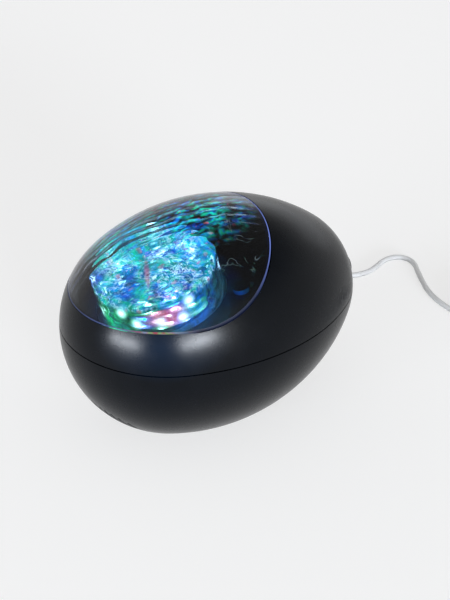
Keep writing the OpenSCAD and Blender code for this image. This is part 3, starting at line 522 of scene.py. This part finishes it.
def dome_edge_material():
    """Cut edge of the dome, with the light inside painted on where it comes out: blue, with mixed
    colours in front.
    """
    material, tree, shader = new_material("dome_edge")
    local = split_xyz(tree, measured_from(tree, RIM.origin, (RIM_TILT, 0, 0)))
    angle = math_node(tree, "ARCTAN2", local["Y"], local["X"])
    turn = map_range(tree, angle, (-math.pi, math.pi))
    level = ramp(tree, turn, [(at, grey(value)) for at, value in EDGE_LEVELS])
    off_mixed = math_node(tree, "ABSOLUTE", math_node(tree, "SUBTRACT", turn, EDGE_MIXED_AT))
    mixed = map_range(tree, off_mixed, EDGE_MIXED_REACH, (1.0, 0.0))
    mixed_colours = ramp(tree, noise_at(tree, scale=190, detail=1.0), EDGE_MIXED_STOPS)
    set_inputs(tree, shader,
               Base_Color=cloudy(tree, *EDGE_BLACK, scale=60),
               Roughness=0.5,
               Specular_IOR_Level=0.1,
               Emission_Color=blend(tree, mixed, EDGE_GLOW_BLUE, mixed_colours),
               Emission_Strength=product(tree, level, EDGE_STRENGTH))
    return material


# Drum lens material

LENS_CLEAR = ((0.8, 0.93, 1.0), (0.92, 0.98, 1.0))
LENS_IOR = 1.45
LENS_GLOW = 1.7  # strength on the drum's top
WALL_GLOW = 0.05  # strength on its wall, between the lights there
LINE_STRENGTH = 1.2  # strength that the crinkled lines add
TOP_RANGE = ((DRUM_RISE - 6) * MM, (DRUM_RISE - 3) * MM)  # heights over which the top's glow grows
WALL_RANGE = ((DRUM_RISE - 6) * MM, (DRUM_RISE - 4) * MM)  # heights over which the wall's lights end
LIGHT_STREAK = Glow((3, -37, 83), (15, 1.9, 12), 0.8)  # a painted pink streak of light on the top
LIGHT_STREAK_TURN = -26.7
WALL_LIGHT_Z = 9
WALL_LIGHT_REACH = 17
WALL_LIGHT_STRENGTH = 1.9
# Angle round the drum and colour of each light on its wall
WALL_LIGHTS = [
    (283, (0.0, 0.7, 0.2)),
    (5, (0.0, 0.2, 0.9)),
    (110, (0.0, 0.2, 0.9)),
    (190, (0.0, 0.6, 0.4)),
]
GLINT_RING_R = 30.4
GLINT_REACH = 4.4
GLINT_STRENGTH = 11.0
GLINT_COLOUR = (0.75, 1.0, 0.95)
# Angle round the drum and height of each painted glint on its wall
GLINTS = [
    (297, 13.5),
    (310, 8),
    (332, 7),
    (352, 6.5),
    (1, 14),
    (75, 7),
    (115, 5),
    (150, 7),
    (190, 6),
    (225, 5),
    (262, 6),
]


def ring_spot(ring_r, turn, height):
    """A place on a ring about the lens axis, at a height over the deck."""
    a = math.radians(turn)
    return place(DECK, [ring_r * math.cos(a), ring_r * math.sin(a), height])


def wave_lens_material():
    """Clear plastic with painted lamp light in it: bright crinkled lines in sea colours, brightest on
    its top.
    """
    material, tree, shader = new_material("wave_lens")
    height = split_xyz(tree, measured_from(tree, DECK.origin, (DECK_TILT, 0, 0)))["Z"]
    # Painted light: lines, clouds, wall lights and glints are all emission standing in for the lamps'
    # light
    lit_parts = map_range(tree, noise_at(tree, scale=75, detail=1.0), (0.42, 0.6), (0.1, 1.0))
    lines = product(tree, ridge(tree, scale=190, width=0.045), lit_parts)
    light_streak = map_range(tree, nearness(tree, LIGHT_STREAK.place, LIGHT_STREAK.reach, LIGHT_STREAK_TURN),
                       (0.1, 0.7), (0.0, LIGHT_STREAK.strength))
    colour = blend(tree, lines, blend(tree, light_streak, sea_light(tree, scale=95), PINK), ICE)
    clouds = map_range(tree, noise_at(tree, scale=170, detail=4.0, distortion=1.2), (0.38, 0.64),
                       (0.2, 1.1))
    light = math_node(tree, "ADD", clouds, product(tree, lines, LINE_STRENGTH))
    on_top = map_range(tree, height, TOP_RANGE, (WALL_GLOW, LENS_GLOW))
    strength = product(tree, light, on_top)
    on_wall = map_range(tree, height, WALL_RANGE, (1.0, 0.0))
    patches = map_range(tree, noise_at(tree, scale=240, detail=3.0, distortion=1.0), (0.38, 0.64),
                        (0.0, WALL_LIGHT_STRENGTH))
    for turn, wall_colour in WALL_LIGHTS:
        spot = ring_spot(DRUM_R, turn, WALL_LIGHT_Z)
        near = product(tree, nearness(tree, spot, WALL_LIGHT_REACH), on_wall)
        colour = blend(tree, map_range(tree, near, (0.0, 0.2)), colour, wall_colour)
        strength = math_node(tree, "ADD", strength, product(tree, near, patches))
    for turn, glint_z in GLINTS:
        near = nearness(tree, ring_spot(GLINT_RING_R, turn, glint_z), GLINT_REACH)
        colour = blend(tree, near, colour, GLINT_COLOUR)
        strength = math_node(tree, "ADD", strength, product(tree, near, near, GLINT_STRENGTH))
    set_inputs(tree, shader,
               Base_Color=cloudy(tree, *LENS_CLEAR, scale=50),
               Roughness=0.02,
               IOR=LENS_IOR,
               Transmission_Weight=1.0,
               Emission_Color=colour,
               Emission_Strength=strength)
    return material


# Lamp materials, and materials that the lamps and the lens light up

LampSet = namedtuple("LampSet", "ring_r turns colour")
LAMPS = {
    "red_lamps": LampSet(RED_RING_R, (100, 220, 340), (1.0, 0.08, 0.16)),
    "green_lamps": LampSet(LAMP_RING_R, (80, 200, 320), (0.02, 1.0, 0.3)),
    "blue_lamps": LampSet(LAMP_RING_R, (140, 260), (0.0, 0.22, 1.0)),
    "white_lamp": LampSet(LAMP_RING_R, (20,), (0.2, 0.5, 1.0)),
}
LAMP_STRENGTH = 24
HOT_WHITE = grey(4)  # middle of a pool of light
DECK_GLOW = Glow(DECK.origin, (44, 44, 20), 0.9)  # light from the lens on the deck
CAP_GLOW = Glow((29.6, -1.6, 74), (6, 6, 5), 1.8)  # light on the side of one pillar cap
# Colours of the painted light from the lens on the deck and the pillar cap
DECK_LIGHT_BLUES = ((0.0, 0.12, 0.8), (0.0, 0.35, 0.75))
NARROW_SPREAD = (0.4, 0.6)  # the middle values of a noise, for clearer clouds


def lamp_material(name, colour):
    """A lit lamp: paler and more coloured clouds."""
    material, tree, shader = new_material(name)
    pale = [(1 + c) / 2 for c in colour]
    lit = cloudy(tree, colour, pale, scale=220, spread=NARROW_SPREAD)
    set_inputs(tree, shader, Base_Color=lit, Emission_Color=lit, Emission_Strength=LAMP_STRENGTH,
               Roughness=0.3)
    return material


def lamplit(material, reach, strength):
    """Adds a pool of coloured light around each lamp to a material."""
    tree, shader = shader_of(material)
    pools = []
    for lamps in LAMPS.values():
        for turn in lamps.turns:
            near = nearness(tree, ring_spot(lamps.ring_r, turn, LAMP_BOARD_TOP), reach)
            soft = product(tree, near, near)
            hot = product(tree, soft, soft, soft)
            pools.append(blend(tree, soft, grey(0), blend(tree, hot, lamps.colour, HOT_WHITE)))
    light = pools[0]
    for pool in pools[1:]:
        light = vector_math(tree, "ADD", light, pool)
    set_inputs(tree, shader, Emission_Color=light, Emission_Strength=strength)
    return material


def deck_material():
    """Glossy black deck, with blue light from the lens on it and on one pillar cap's side."""
    material = moulded("deck_black", (0.002, 0.002, 0.0035), (0.004, 0.004, 0.006), (0.08, 0.14), 1500,
                       bump=0.05, specular=0.4)
    tree, shader = shader_of(material)
    normal = tree.nodes.new("ShaderNodeNewGeometry").outputs["Normal"]
    facing_up = vector_math(tree, "DOT_PRODUCT", normal, DECK.axes[2])
    upright = map_range(tree, facing_up, (0.2, 0.6), (1.0, 0.0))
    cap_glow = product(tree, glow_at(tree, CAP_GLOW), upright)
    light = math_node(tree, "ADD", glow_at(tree, DECK_GLOW), cap_glow)
    set_inputs(tree, shader,
               Emission_Color=cloudy(tree, *DECK_LIGHT_BLUES, scale=120, spread=NARROW_SPREAD),
               Emission_Strength=product(tree, light, noise_at(tree, scale=260)))
    return material


deck_black = deck_material()
# Painted pools of lamp light on the light board, the chassis, the lens carrier and the lamp frames
lamp_board = lamplit(
    moulded("lamp_board", (0.06, 0.08, 0.09), (0.09, 0.11, 0.12), (0.35, 0.45), 900),
    reach=11, strength=4.0)
chassis_lit = lamplit(moulded("chassis_lit", *CHASSIS_LOOK), reach=18, strength=1.5)
carrier_lit = lamplit(
    moulded("carrier_lit", (0.08, 0.12, 0.2), (0.1, 0.15, 0.25), (0.35, 0.45), 1000),
    reach=24, strength=1.6)
lamp_frame = lamplit(
    moulded("lamp_frame", grey(0.6), grey(0.7), (0.4, 0.5), 900), reach=9, strength=6.0)
lamp_lights = {name: lamp_material(name, lamps.colour) for name, lamps in LAMPS.items()}
clear_dome = clear_dome_material()
dome_edge = dome_edge_material()
wave_lens_clear = wave_lens_material()

# Which nodes have which material
DRESSED = [
    (case_black, ["lower_shell", "upper_shell"]),
    (clear_dome, ["dome_cover"]),
    (foam_black, ["dome_gasket"]),
    (foot_rubber, ["rubber_feet"]),
    (deck_black, ["light_deck"]),
    (wave_lens_clear, ["wave_lens"]),
    (carrier_lit, ["lens_carrier"]),
    (chassis_lit, ["chassis"]),
    (chassis_grey, ["gearbox"]),
    (lamp_board, ["light_board"]),
    (gear_ivory, ["drive_pinion", "cord_socket"]),
    (board_green, ["main_board", "button_board"]),
    (chip_black, ["control_chip", "tact_switches"]),
    (can_grey, ["capacitors"]),
    (speaker_black, ["speaker_frame"]),
    (cone_paper, ["speaker_cone"]),
    (button_black, ["power_button", "colour_button", "sound_button"]),
    (cord_white, ["strain_relief", "usb_cord", "usb_cord_coil"]),
    (plug_white, ["cable_tie", "usb_plug_body"]),
    (steel, [
        "motor_shaft", "motor_can", "speaker_magnet", "usb_plug_shell", "lens_screws",
        "motor_screws", "speaker_screws", "board_screws", "case_screws", "frame_screws",
    ]),
]


def dress(node_name, material):
    """Gives one of the part's nodes its material."""
    slots = nodes[node_name].data.materials
    slots.clear()
    slots.append(material)


for material, names in DRESSED:
    for name in names:
        dress(name, material)
for name, material in lamp_lights.items():
    dress(name, material)


# Cord: the part's own route, then the coil, then the way to the plug

OUTLET = (-10, 80, 34)
FLOOR_LINE = 1.6  # height of the cord's middle where it lies on the floor
COIL_CENTRE = (18, 180)
COIL_LOOPS = 7
COIL_PITCH = 3.6  # from one loop to the next, and from layer to layer
COIL_MID_R = 17.3  # radius of the coil's middle loop
COIL_LIFT = 2.5  # height of the lower layer
COIL_LEAD = 4  # how far before the coil the route ends
COIL_STEP = 15  # degrees between the coil's points
COIL_IN_R = COIL_MID_R - COIL_PITCH * COIL_LOOPS / 4
COIL_START_Y = COIL_CENTRE[1] - COIL_MID_R - COIL_PITCH * COIL_LOOPS / 4
PLUG_X = COIL_CENTRE[0] + 24
PLUG_Z = 4
CORD_STEPS = 6  # steps between two points of the cord
CORD_ROUNDS = 4  # fineness of the cord's round section
CORD_ROUTE = [
    OUTLET,
    (-10, 84, 34),
    (-10.5, 88.5, 33.4),
    (-12.5, 93.5, 30.4),
    (-17, 98.5, 24),
    (-23, 103, 16.5),
    (-30, 107, 9.6),
    (-38, 110.5, 4.4),
    (-46.5, 114, 1.8),
    (-54, 118, FLOOR_LINE),
    (-59, 124, FLOOR_LINE),
    (-60, 131, FLOOR_LINE),
    (-58.5, 138, FLOOR_LINE),
    (-58.7, 145, FLOOR_LINE),
    (-61, 151.5, FLOOR_LINE),
    (-63.6, 157.5, FLOOR_LINE),
    (-64.8, 163.5, FLOOR_LINE),
    (-63, 169, FLOOR_LINE),
    (-58, 172.2, FLOOR_LINE),
    (-52, 171.8, FLOOR_LINE),
    (-44, 168.2, FLOOR_LINE),
    (-34, 163.6, FLOOR_LINE),
    (-24, 159.6, FLOOR_LINE),
    (-15, 157.4, FLOOR_LINE),
    (-6, 156.6, FLOOR_LINE),
    (3, COIL_START_Y, COIL_LIFT - 0.5),
    (9, COIL_START_Y, COIL_LIFT),
    (COIL_CENTRE[0] - COIL_LEAD, COIL_START_Y, COIL_LIFT),
]
CORD_TAIL = [
    (COIL_CENTRE[0] + 7, COIL_START_Y, COIL_LIFT + COIL_PITCH),
    (COIL_CENTRE[0] + 14, COIL_START_Y, PLUG_Z + 0.9),
    (COIL_CENTRE[0] + 20, COIL_START_Y, PLUG_Z),
    (PLUG_X, COIL_START_Y, PLUG_Z),
]


def ease(u):
    """A smooth step from 0 to 1."""
    u = min(max(u, 0), 1)
    return u * u * (3 - 2 * u)


def coil_points():
    """Spirals in on the lower layer, climbs in the middle, spirals out on the upper layer."""
    half = COIL_LOOPS * 180
    points = []
    for t in range(0, 2 * half + 1, COIL_STEP):
        r = COIL_IN_R + COIL_PITCH * abs(t - half) / 360
        angle = math.radians(t - 90)
        z = COIL_LIFT + COIL_PITCH * ease((t - half + 90) / 180)
        points.append((COIL_CENTRE[0] + r * math.cos(angle), COIL_CENTRE[1] + r * math.sin(angle), z))
    return points


def make_cord():
    points = CORD_ROUTE + coil_points() + CORD_TAIL
    curve = bpy.data.curves.new("usb_lead", "CURVE")
    curve.dimensions = "3D"
    curve.resolution_u = CORD_STEPS
    curve.bevel_depth = CORD_D / 2 * MM
    curve.bevel_resolution = CORD_ROUNDS
    curve.use_fill_caps = True
    spline = curve.splines.new("BEZIER")
    spline.bezier_points.add(len(points) - 1)
    for knot, point in zip(spline.bezier_points, points):
        knot.co = Vector(point) * MM
        knot.handle_left_type = "AUTO"
        knot.handle_right_type = "AUTO"
    curve.materials.append(cord_white)
    lead = new_object("usb_lead", curve)
    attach(lead, "case")
    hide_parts("usb_cord", "usb_cord_coil")


make_cord()


# Shells: the part's own shells, their outside drawn on to the smooth egg

SKIN = 0.35  # points nearer to the egg than this belong to the outside
FACING_OUT = 0.3  # least cosine between an outer face and the egg


def make_smooth_shell(node_name):
    """One of the part's shells, shaped and shaded outside as the smooth egg."""
    mesh = nodes[node_name].data.copy()
    flat = np.empty(len(mesh.vertices) * 3)
    mesh.vertices.foreach_get("co", flat)
    points = flat.reshape(-1, 3) / MM
    distance, away = egg_distance(points)
    outside = np.abs(distance) < SKIN
    smooth = points - np.where(outside, distance, 0)[:, None] * away
    mesh.vertices.foreach_set("co", (smooth * MM).ravel())
    mesh.update()
    normals = np.empty((len(mesh.loops), 3))
    for polygon in mesh.polygons:
        corners = list(polygon.vertices)
        facing = away[corners] @ np.array(polygon.normal)
        on_skin = outside[corners].all() and (facing > FACING_OUT).all()
        normals[list(polygon.loop_indices)] = away[corners] if on_skin else np.array(polygon.normal)
    mesh.shade_smooth()
    mesh.normals_split_custom_set(normals.tolist())
    shell = new_object("smooth_" + node_name, mesh)
    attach(shell, "case")
    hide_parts(node_name)


make_smooth_shell("upper_shell")
make_smooth_shell("lower_shell")


# Dome: smooth outside, rippled inside

DOME_RINGS = 96
DOME_SPOKES = 288
RING_CROWDING = 0.25  # how much closer the rings lie towards the edge
DOME_EDGE_IN = 1.2  # how far the inner skin ends inside the outer one
RIPPLE_LENGTH = 5.5  # from one wave to the next
RIPPLE_SLANT = 0.25  # how far a wave moves towards +X for each millimetre to the rear
RIPPLE_WANDER = [(2.4, 15.0, 1), (0.9, 6.0, 2)]  # amount, size and seed of the waves' wandering
HAMMER_SIZE = 3.6  # size of the dimples between the waves
HAMMER_SEED = 3
CALM_HEIGHT = 0.02  # height of waves and dimples on the calm side, +X
WAVE_GAIN = 0.3  # what the waves gain on the wavy side
HAMMER_GAIN = 0.1  # what the dimples gain there
WAVY_X = 14  # where waves and dimples start to gain, going towards -X
WAVY_SLANT = 0.5  # how far that place moves towards +X for each millimetre to the rear
WAVY_WIDTH = 24  # width over which they gain
CALM_EDGE = 6  # width over which they fade at the rim


def dome_ripple(points):
    """Height of the waves on the dome's inside, strongest towards -X and the rear."""
    local = (points - RIM.origin) @ RIM.axes.T
    x, y = local[:, 0], local[:, 1]
    wander = sum(amount * wave_noise(points, size, seed) for amount, size, seed in RIPPLE_WANDER)
    waves = np.sin(2 * math.pi * (x - RIPPLE_SLANT * y + wander) / RIPPLE_LENGTH)
    hammered = wave_noise(points, HAMMER_SIZE, HAMMER_SEED)
    wavy = np.clip((WAVY_X - x + WAVY_SLANT * y) / WAVY_WIDTH, 0, 1)
    edge = np.clip((DOME_R - np.hypot(x, y)) / CALM_EDGE, 0, 1)
    wave_height = CALM_HEIGHT + WAVE_GAIN * wavy
    dimple_height = CALM_HEIGHT + HAMMER_GAIN * wavy
    return edge * (wave_height * waves + dimple_height * hammered)


def make_dome():
    share = np.linspace(0, 1, DOME_RINGS + 1)[1:]
    radius = DOME_R * (share * (1 + RING_CROWDING - RING_CROWDING * share))
    r, a = np.meshgrid(radius, angles_round(DOME_SPOKES), indexing="ij")
    x = np.concatenate([[0], (r * np.cos(a)).ravel()])
    y = np.concatenate([[0], (r * np.sin(a)).ravel()])
    outer = on_egg(x, y, 0.0)
    inner_share = 1 - DOME_EDGE_IN / DOME_R
    inner = on_egg(x * inner_share, y * inner_share, DOME_T)
    _distance, away = egg_distance(inner)
    inner = inner + dome_ripple(inner)[:, None] * away
    count = len(x)
    last = 1 + (DOME_RINGS - 1) * DOME_SPOKES
    faces = grid_faces(DOME_RINGS, DOME_SPOKES, 1)
    faces += grid_faces(DOME_RINGS, DOME_SPOKES, count + 1, True)
    for k in range(DOME_SPOKES):
        j = (k + 1) % DOME_SPOKES
        faces.append((0, 1 + k, 1 + j))
        faces.append((count, count + 1 + j, count + 1 + k))
        faces.append((last + j, last + k, count + last + k, count + last + j))
    dome = add_piece("rippled_dome", np.concatenate([outer, inner]), faces, clear_dome, "case")
    dome.data.materials.append(dome_edge)
    edge = set(range(last, last + DOME_SPOKES))
    for polygon in dome.data.polygons:
        if edge.intersection(polygon.vertices):
            polygon.material_index = 1
    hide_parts("dome_cover")


make_dome()


# Drum lens: a wavy drum with a crinkled top, open below

DRUM_RINGS = 60
DRUM_SPOKES = 240
DRUM_ROWS = 14  # rows of points down the wall
DRUM_EYE = 0.02  # innermost ring, as a share of the radius
WALL_WAVES = [(0.5, 5, 0.6), (0.35, 9, 2.0), (0.2, 16, 0.0)]  # height, count and start of each wave
WALL_ROOM = 1.1  # keeps the waves of the wall inside the drum's radius
TOP_SWELLS = [(0.7, 9.0, 5), (0.35, 3.5, 6)]  # height, size and seed of each swell
TOP_ROOM = 1.3  # keeps the swells of the top below the drum's rise
SHOULDER_W = 0.1  # width of the round shoulder, as a share of the radius
SHOULDER_AT = 1 - SHOULDER_W
SHOULDER_DROP = 2.6  # how far the top falls on the shoulder
SHOULDER_H = 5.2  # height from the drum's rise down to the wall's first row
BULGE = 0.15  # height of the waves down the wall
BULGE_TURN = 0.9  # radians of such a wave to a millimetre
BULGE_COUNT = 3  # such waves in one turn round the drum


def drum_outline(angle):
    """Radius of the drum's wavy wall at each angle."""
    waves = sum(height * np.sin(count * angle + start) for height, count, start in WALL_WAVES)
    return DRUM_R - WALL_ROOM + waves


def drum_top(local):
    """Height of the crinkled top at places of the deck's frame."""
    flat = np.column_stack([local[:, :2], np.zeros(len(local))])
    swell = sum(height * wave_noise(flat, size, seed) for height, size, seed in TOP_SWELLS)
    return DRUM_RISE - TOP_ROOM + swell


def ring_points(r, angle, z):
    """Points at a radius, at each angle, at a height."""
    return np.column_stack([r * np.cos(angle), r * np.sin(angle), np.full_like(angle, z)])


def drum_skin(inset):
    """Points of the outer or inner skin, from the middle of the top to the foot of the wall."""
    angle = angles_round(DRUM_SPOKES)
    wall_r = drum_outline(angle) - inset
    rows = []
    for t in np.linspace(DRUM_EYE, 1, DRUM_RINGS):
        over = max(t - SHOULDER_AT, 0) / SHOULDER_W
        share = min(t, SHOULDER_AT) + SHOULDER_W * math.sin(over * math.pi / 2)
        drop = SHOULDER_DROP * (1 - math.sqrt(max(0, 1 - over ** 2)))
        local = ring_points(wall_r * share, angle, 0)
        local[:, 2] = drum_top(local) - inset - drop
        rows.append(local)
    for z in np.linspace(DRUM_RISE - SHOULDER_H - inset, DRUM_LOW, DRUM_ROWS):
        bulge = BULGE * np.sin(z * BULGE_TURN + BULGE_COUNT * angle)
        rows.append(ring_points(wall_r + bulge, angle, z))
    return np.concatenate(rows), len(rows)


BOSS_PLACE = 26.9  # distance of the screw bosses from the lens axis
BOSS_R = 1.6
BOSS_H = 6.0
BOSS_TURNS = (30, 150, 270)
BOSS_SIDES = 24


def drum_bosses(start):
    """Screw bosses inside the foot of the drum's wall."""
    angle = angles_round(BOSS_SIDES)
    verts, faces = [], []
    for turn in np.radians(BOSS_TURNS):
        first = start + sum(len(v) for v in verts)
        middle = (BOSS_PLACE * math.cos(turn), BOSS_PLACE * math.sin(turn), 0)
        for z in (DRUM_LOW + BOSS_H, DRUM_LOW):
            verts.append(ring_points(BOSS_R, angle, z) + middle)
        faces += grid_faces(2, BOSS_SIDES, first)
        faces.append(tuple(first + k for k in range(BOSS_SIDES)))
        faces.append(tuple(first + BOSS_SIDES + k for k in reversed(range(BOSS_SIDES))))
    return np.concatenate(verts), faces


def make_drum():
    outer, rows = drum_skin(0.0)
    inner, _rows = drum_skin(DRUM_WALL)
    tops = [outer[:DRUM_SPOKES].mean(0), inner[:DRUM_SPOKES].mean(0)]
    count = len(outer)
    foot = (rows - 1) * DRUM_SPOKES
    faces = grid_faces(rows, DRUM_SPOKES)
    faces += grid_faces(rows, DRUM_SPOKES, count, True)
    for k in range(DRUM_SPOKES):
        j = (k + 1) % DRUM_SPOKES
        faces.append((2 * count, k, j))
        faces.append((2 * count + 1, count + j, count + k))
        faces.append((foot + j, foot + k, count + foot + k, count + foot + j))
    bosses, boss_faces = drum_bosses(2 * count + 2)
    verts = place(DECK, np.concatenate([outer, inner, tops, bosses]))
    faces += boss_faces
    drum = add_piece("crinkled_drum", verts, faces, wave_lens_clear, "wave_turntable")
    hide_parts("wave_lens")


make_drum()


# Lamps: a white frame with a round, domed light face

LAMP_SIDE_POINTS = 8  # points along each side of the square frame
LAMP_FACE_R = 2.4  # radius of the well that holds the light face
LAMP_WELL_IN = 0.2  # how much the well narrows
LAMP_WELL_DEPTH = 0.4
LAMP_FACE_RISE = 0.3  # height of the domed face
LAMP_FACE_ANGLES = (0.5, 1.0, 1.5)  # radians from the face's edge to its top
FRAME_ROWS = 3  # rows of faces that belong to the frame


def lamp_shape():
    """Rings of points of one lamp, from its foot up its frame and over its light face."""
    angle = angles_round(4 * LAMP_SIDE_POINTS)
    square = LAMP_W / 2 / np.maximum(np.abs(np.cos(angle)), np.abs(np.sin(angle)))
    face_r = LAMP_FACE_R - LAMP_WELL_IN
    face_z = LAMP_H - LAMP_WELL_DEPTH
    profile = [(square, 0), (square, LAMP_H), (LAMP_FACE_R, LAMP_H), (face_r, face_z)]
    for t in LAMP_FACE_ANGLES:
        profile.append((face_r * math.cos(t), face_z + LAMP_FACE_RISE * math.sin(t)))
    return np.concatenate([ring_points(r, angle, z) for r, z in profile]), len(angle)


def spin(turn):
    """Turns rows of points about Z, by degrees."""
    c, s = math.cos(math.radians(turn)), math.sin(math.radians(turn))
    return np.array([[c, s, 0], [-s, c, 0], [0, 0, 1]])


def make_lamps(node_name, lamps):
    shape, count = lamp_shape()
    rows = len(shape) // count
    verts, faces, lit = [], [], []
    for index, turn in enumerate(lamps.turns):
        start = index * len(shape)
        verts.append(shape @ spin(turn) @ DECK.axes + ring_spot(lamps.ring_r, turn, LAMP_BOARD_TOP))
        faces += grid_faces(rows, count, start, True)
        lit += [row >= FRAME_ROWS for row in range(rows - 1) for _ in range(count)]
        faces.append(tuple(start + k for k in reversed(range(count))))
        faces.append(tuple(start + len(shape) - count + k for k in range(count)))
        lit += [False, True]
    piece = add_piece(node_name + "_lit", np.concatenate(verts), faces, lamp_frame, "case", smooth=False)
    piece.data.materials.append(lamp_lights[node_name])
    for polygon, on in zip(piece.data.polygons, lit):
        polygon.material_index = int(on)
    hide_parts(node_name)


for name, lamps in LAMPS.items():
    make_lamps(name, lamps)


# Stage: pale floor, soft sky and soft lamps, in metres

FLOOR_REACH = 20
FLOOR_GREYS = (0.4, 0.404)
FLOOR_FILL = 0.64  # light of its own that the floor shows to the camera, to gloss and to glass
HORIZON_GREY = 0.86
OVERHEAD_GREY = 0.32
HORIZON_TOP = 0.32  # height on the sky up to which it is as bright as the horizon
OVERHEAD_FROM = 0.6  # height on the sky from which it is as dark as overhead
SOFTBOX_COLOUR = (0.88, 0.93, 1.0)
SOFTBOX_TARGET = Vector((0, 0, 0.06))
SOFTBOX_DISTANCE = 9
SHINE_DISTANCE = 9.5  # a lamp for shine alone stands behind the softbox of its side
LEFT_BOX = {"azimuth": 14, "elevation": 5, "width": 5.0, "height": 1.1}
RIGHT_BOX = {"azimuth": 81, "elevation": 9, "width": 2.85, "height": 1.26}
BACK_BOX = {"azimuth": 213, "elevation": 14, "width": 8.0, "height": 3.0}


def make_floor():
    material, tree, shader = new_material("floor")
    path = tree.nodes.new("ShaderNodeLightPath").outputs
    mirrored = math_node(tree, "MAXIMUM", path["Is Glossy Ray"], path["Is Transmission Ray"])
    seen = math_node(tree, "MAXIMUM", path["Is Camera Ray"], mirrored)
    set_inputs(tree, shader,
               Base_Color=cloudy(tree, grey(FLOOR_GREYS[0]), grey(FLOOR_GREYS[1]), scale=3),
               Roughness=1.0,
               Specular_IOR_Level=0.0,
               Emission_Color=grey(1),
               Emission_Strength=product(tree, seen, FLOOR_FILL))
    mesh = bpy.data.meshes.new("floor")
    corners = [(-1, -1), (1, -1), (1, 1), (-1, 1)]
    mesh.from_pydata([(FLOOR_REACH * x, FLOOR_REACH * y, 0) for x, y in corners], [], [(0, 1, 2, 3)])
    mesh.materials.append(material)
    floor = new_object("floor", mesh)


def make_sky():
    """Bright at the horizon, darker overhead."""
    world = bpy.data.worlds.new("sky")
    scene.world = world
    world.use_nodes = True
    tree = world.node_tree
    height = split_xyz(tree, tree.nodes.new("ShaderNodeTexCoord").outputs["Generated"])["Z"]
    sky = ramp(tree, height, [
        (0.0, grey(HORIZON_GREY)),
        (HORIZON_TOP, grey(HORIZON_GREY)),
        (OVERHEAD_FROM, grey(OVERHEAD_GREY)),
    ])
    set_inputs(tree, tree.nodes["Background"], Color=sky, Strength=1.0)


def softbox(name, azimuth, elevation, width, height, distance, power, shine_only=False):
    """A soft lamp that faces the object, or one that shows only as shine on glossy surfaces."""
    towards = direction(azimuth, elevation)
    data = bpy.data.lights.new(name, "AREA")
    data.shape = "RECTANGLE"
    data.size = width
    data.size_y = height
    data.energy = power
    data.color = SOFTBOX_COLOUR
    light = new_object(name, data)
    light.location = SOFTBOX_TARGET + distance * towards
    light.rotation_euler = towards.to_track_quat("Z", "Y").to_euler()
    light.visible_diffuse = not shine_only
    light.visible_camera = False


make_floor()
make_sky()
softbox("softbox_left", **LEFT_BOX, distance=SOFTBOX_DISTANCE, power=740)
softbox("softbox_right", **RIGHT_BOX, distance=SOFTBOX_DISTANCE, power=620)
softbox("shine_left", **LEFT_BOX, distance=SHINE_DISTANCE, power=900, shine_only=True)
softbox("shine_right", **RIGHT_BOX, distance=SHINE_DISTANCE, power=950, shine_only=True)
softbox("shine_back", **BACK_BOX, distance=SOFTBOX_DISTANCE, power=65, shine_only=True)
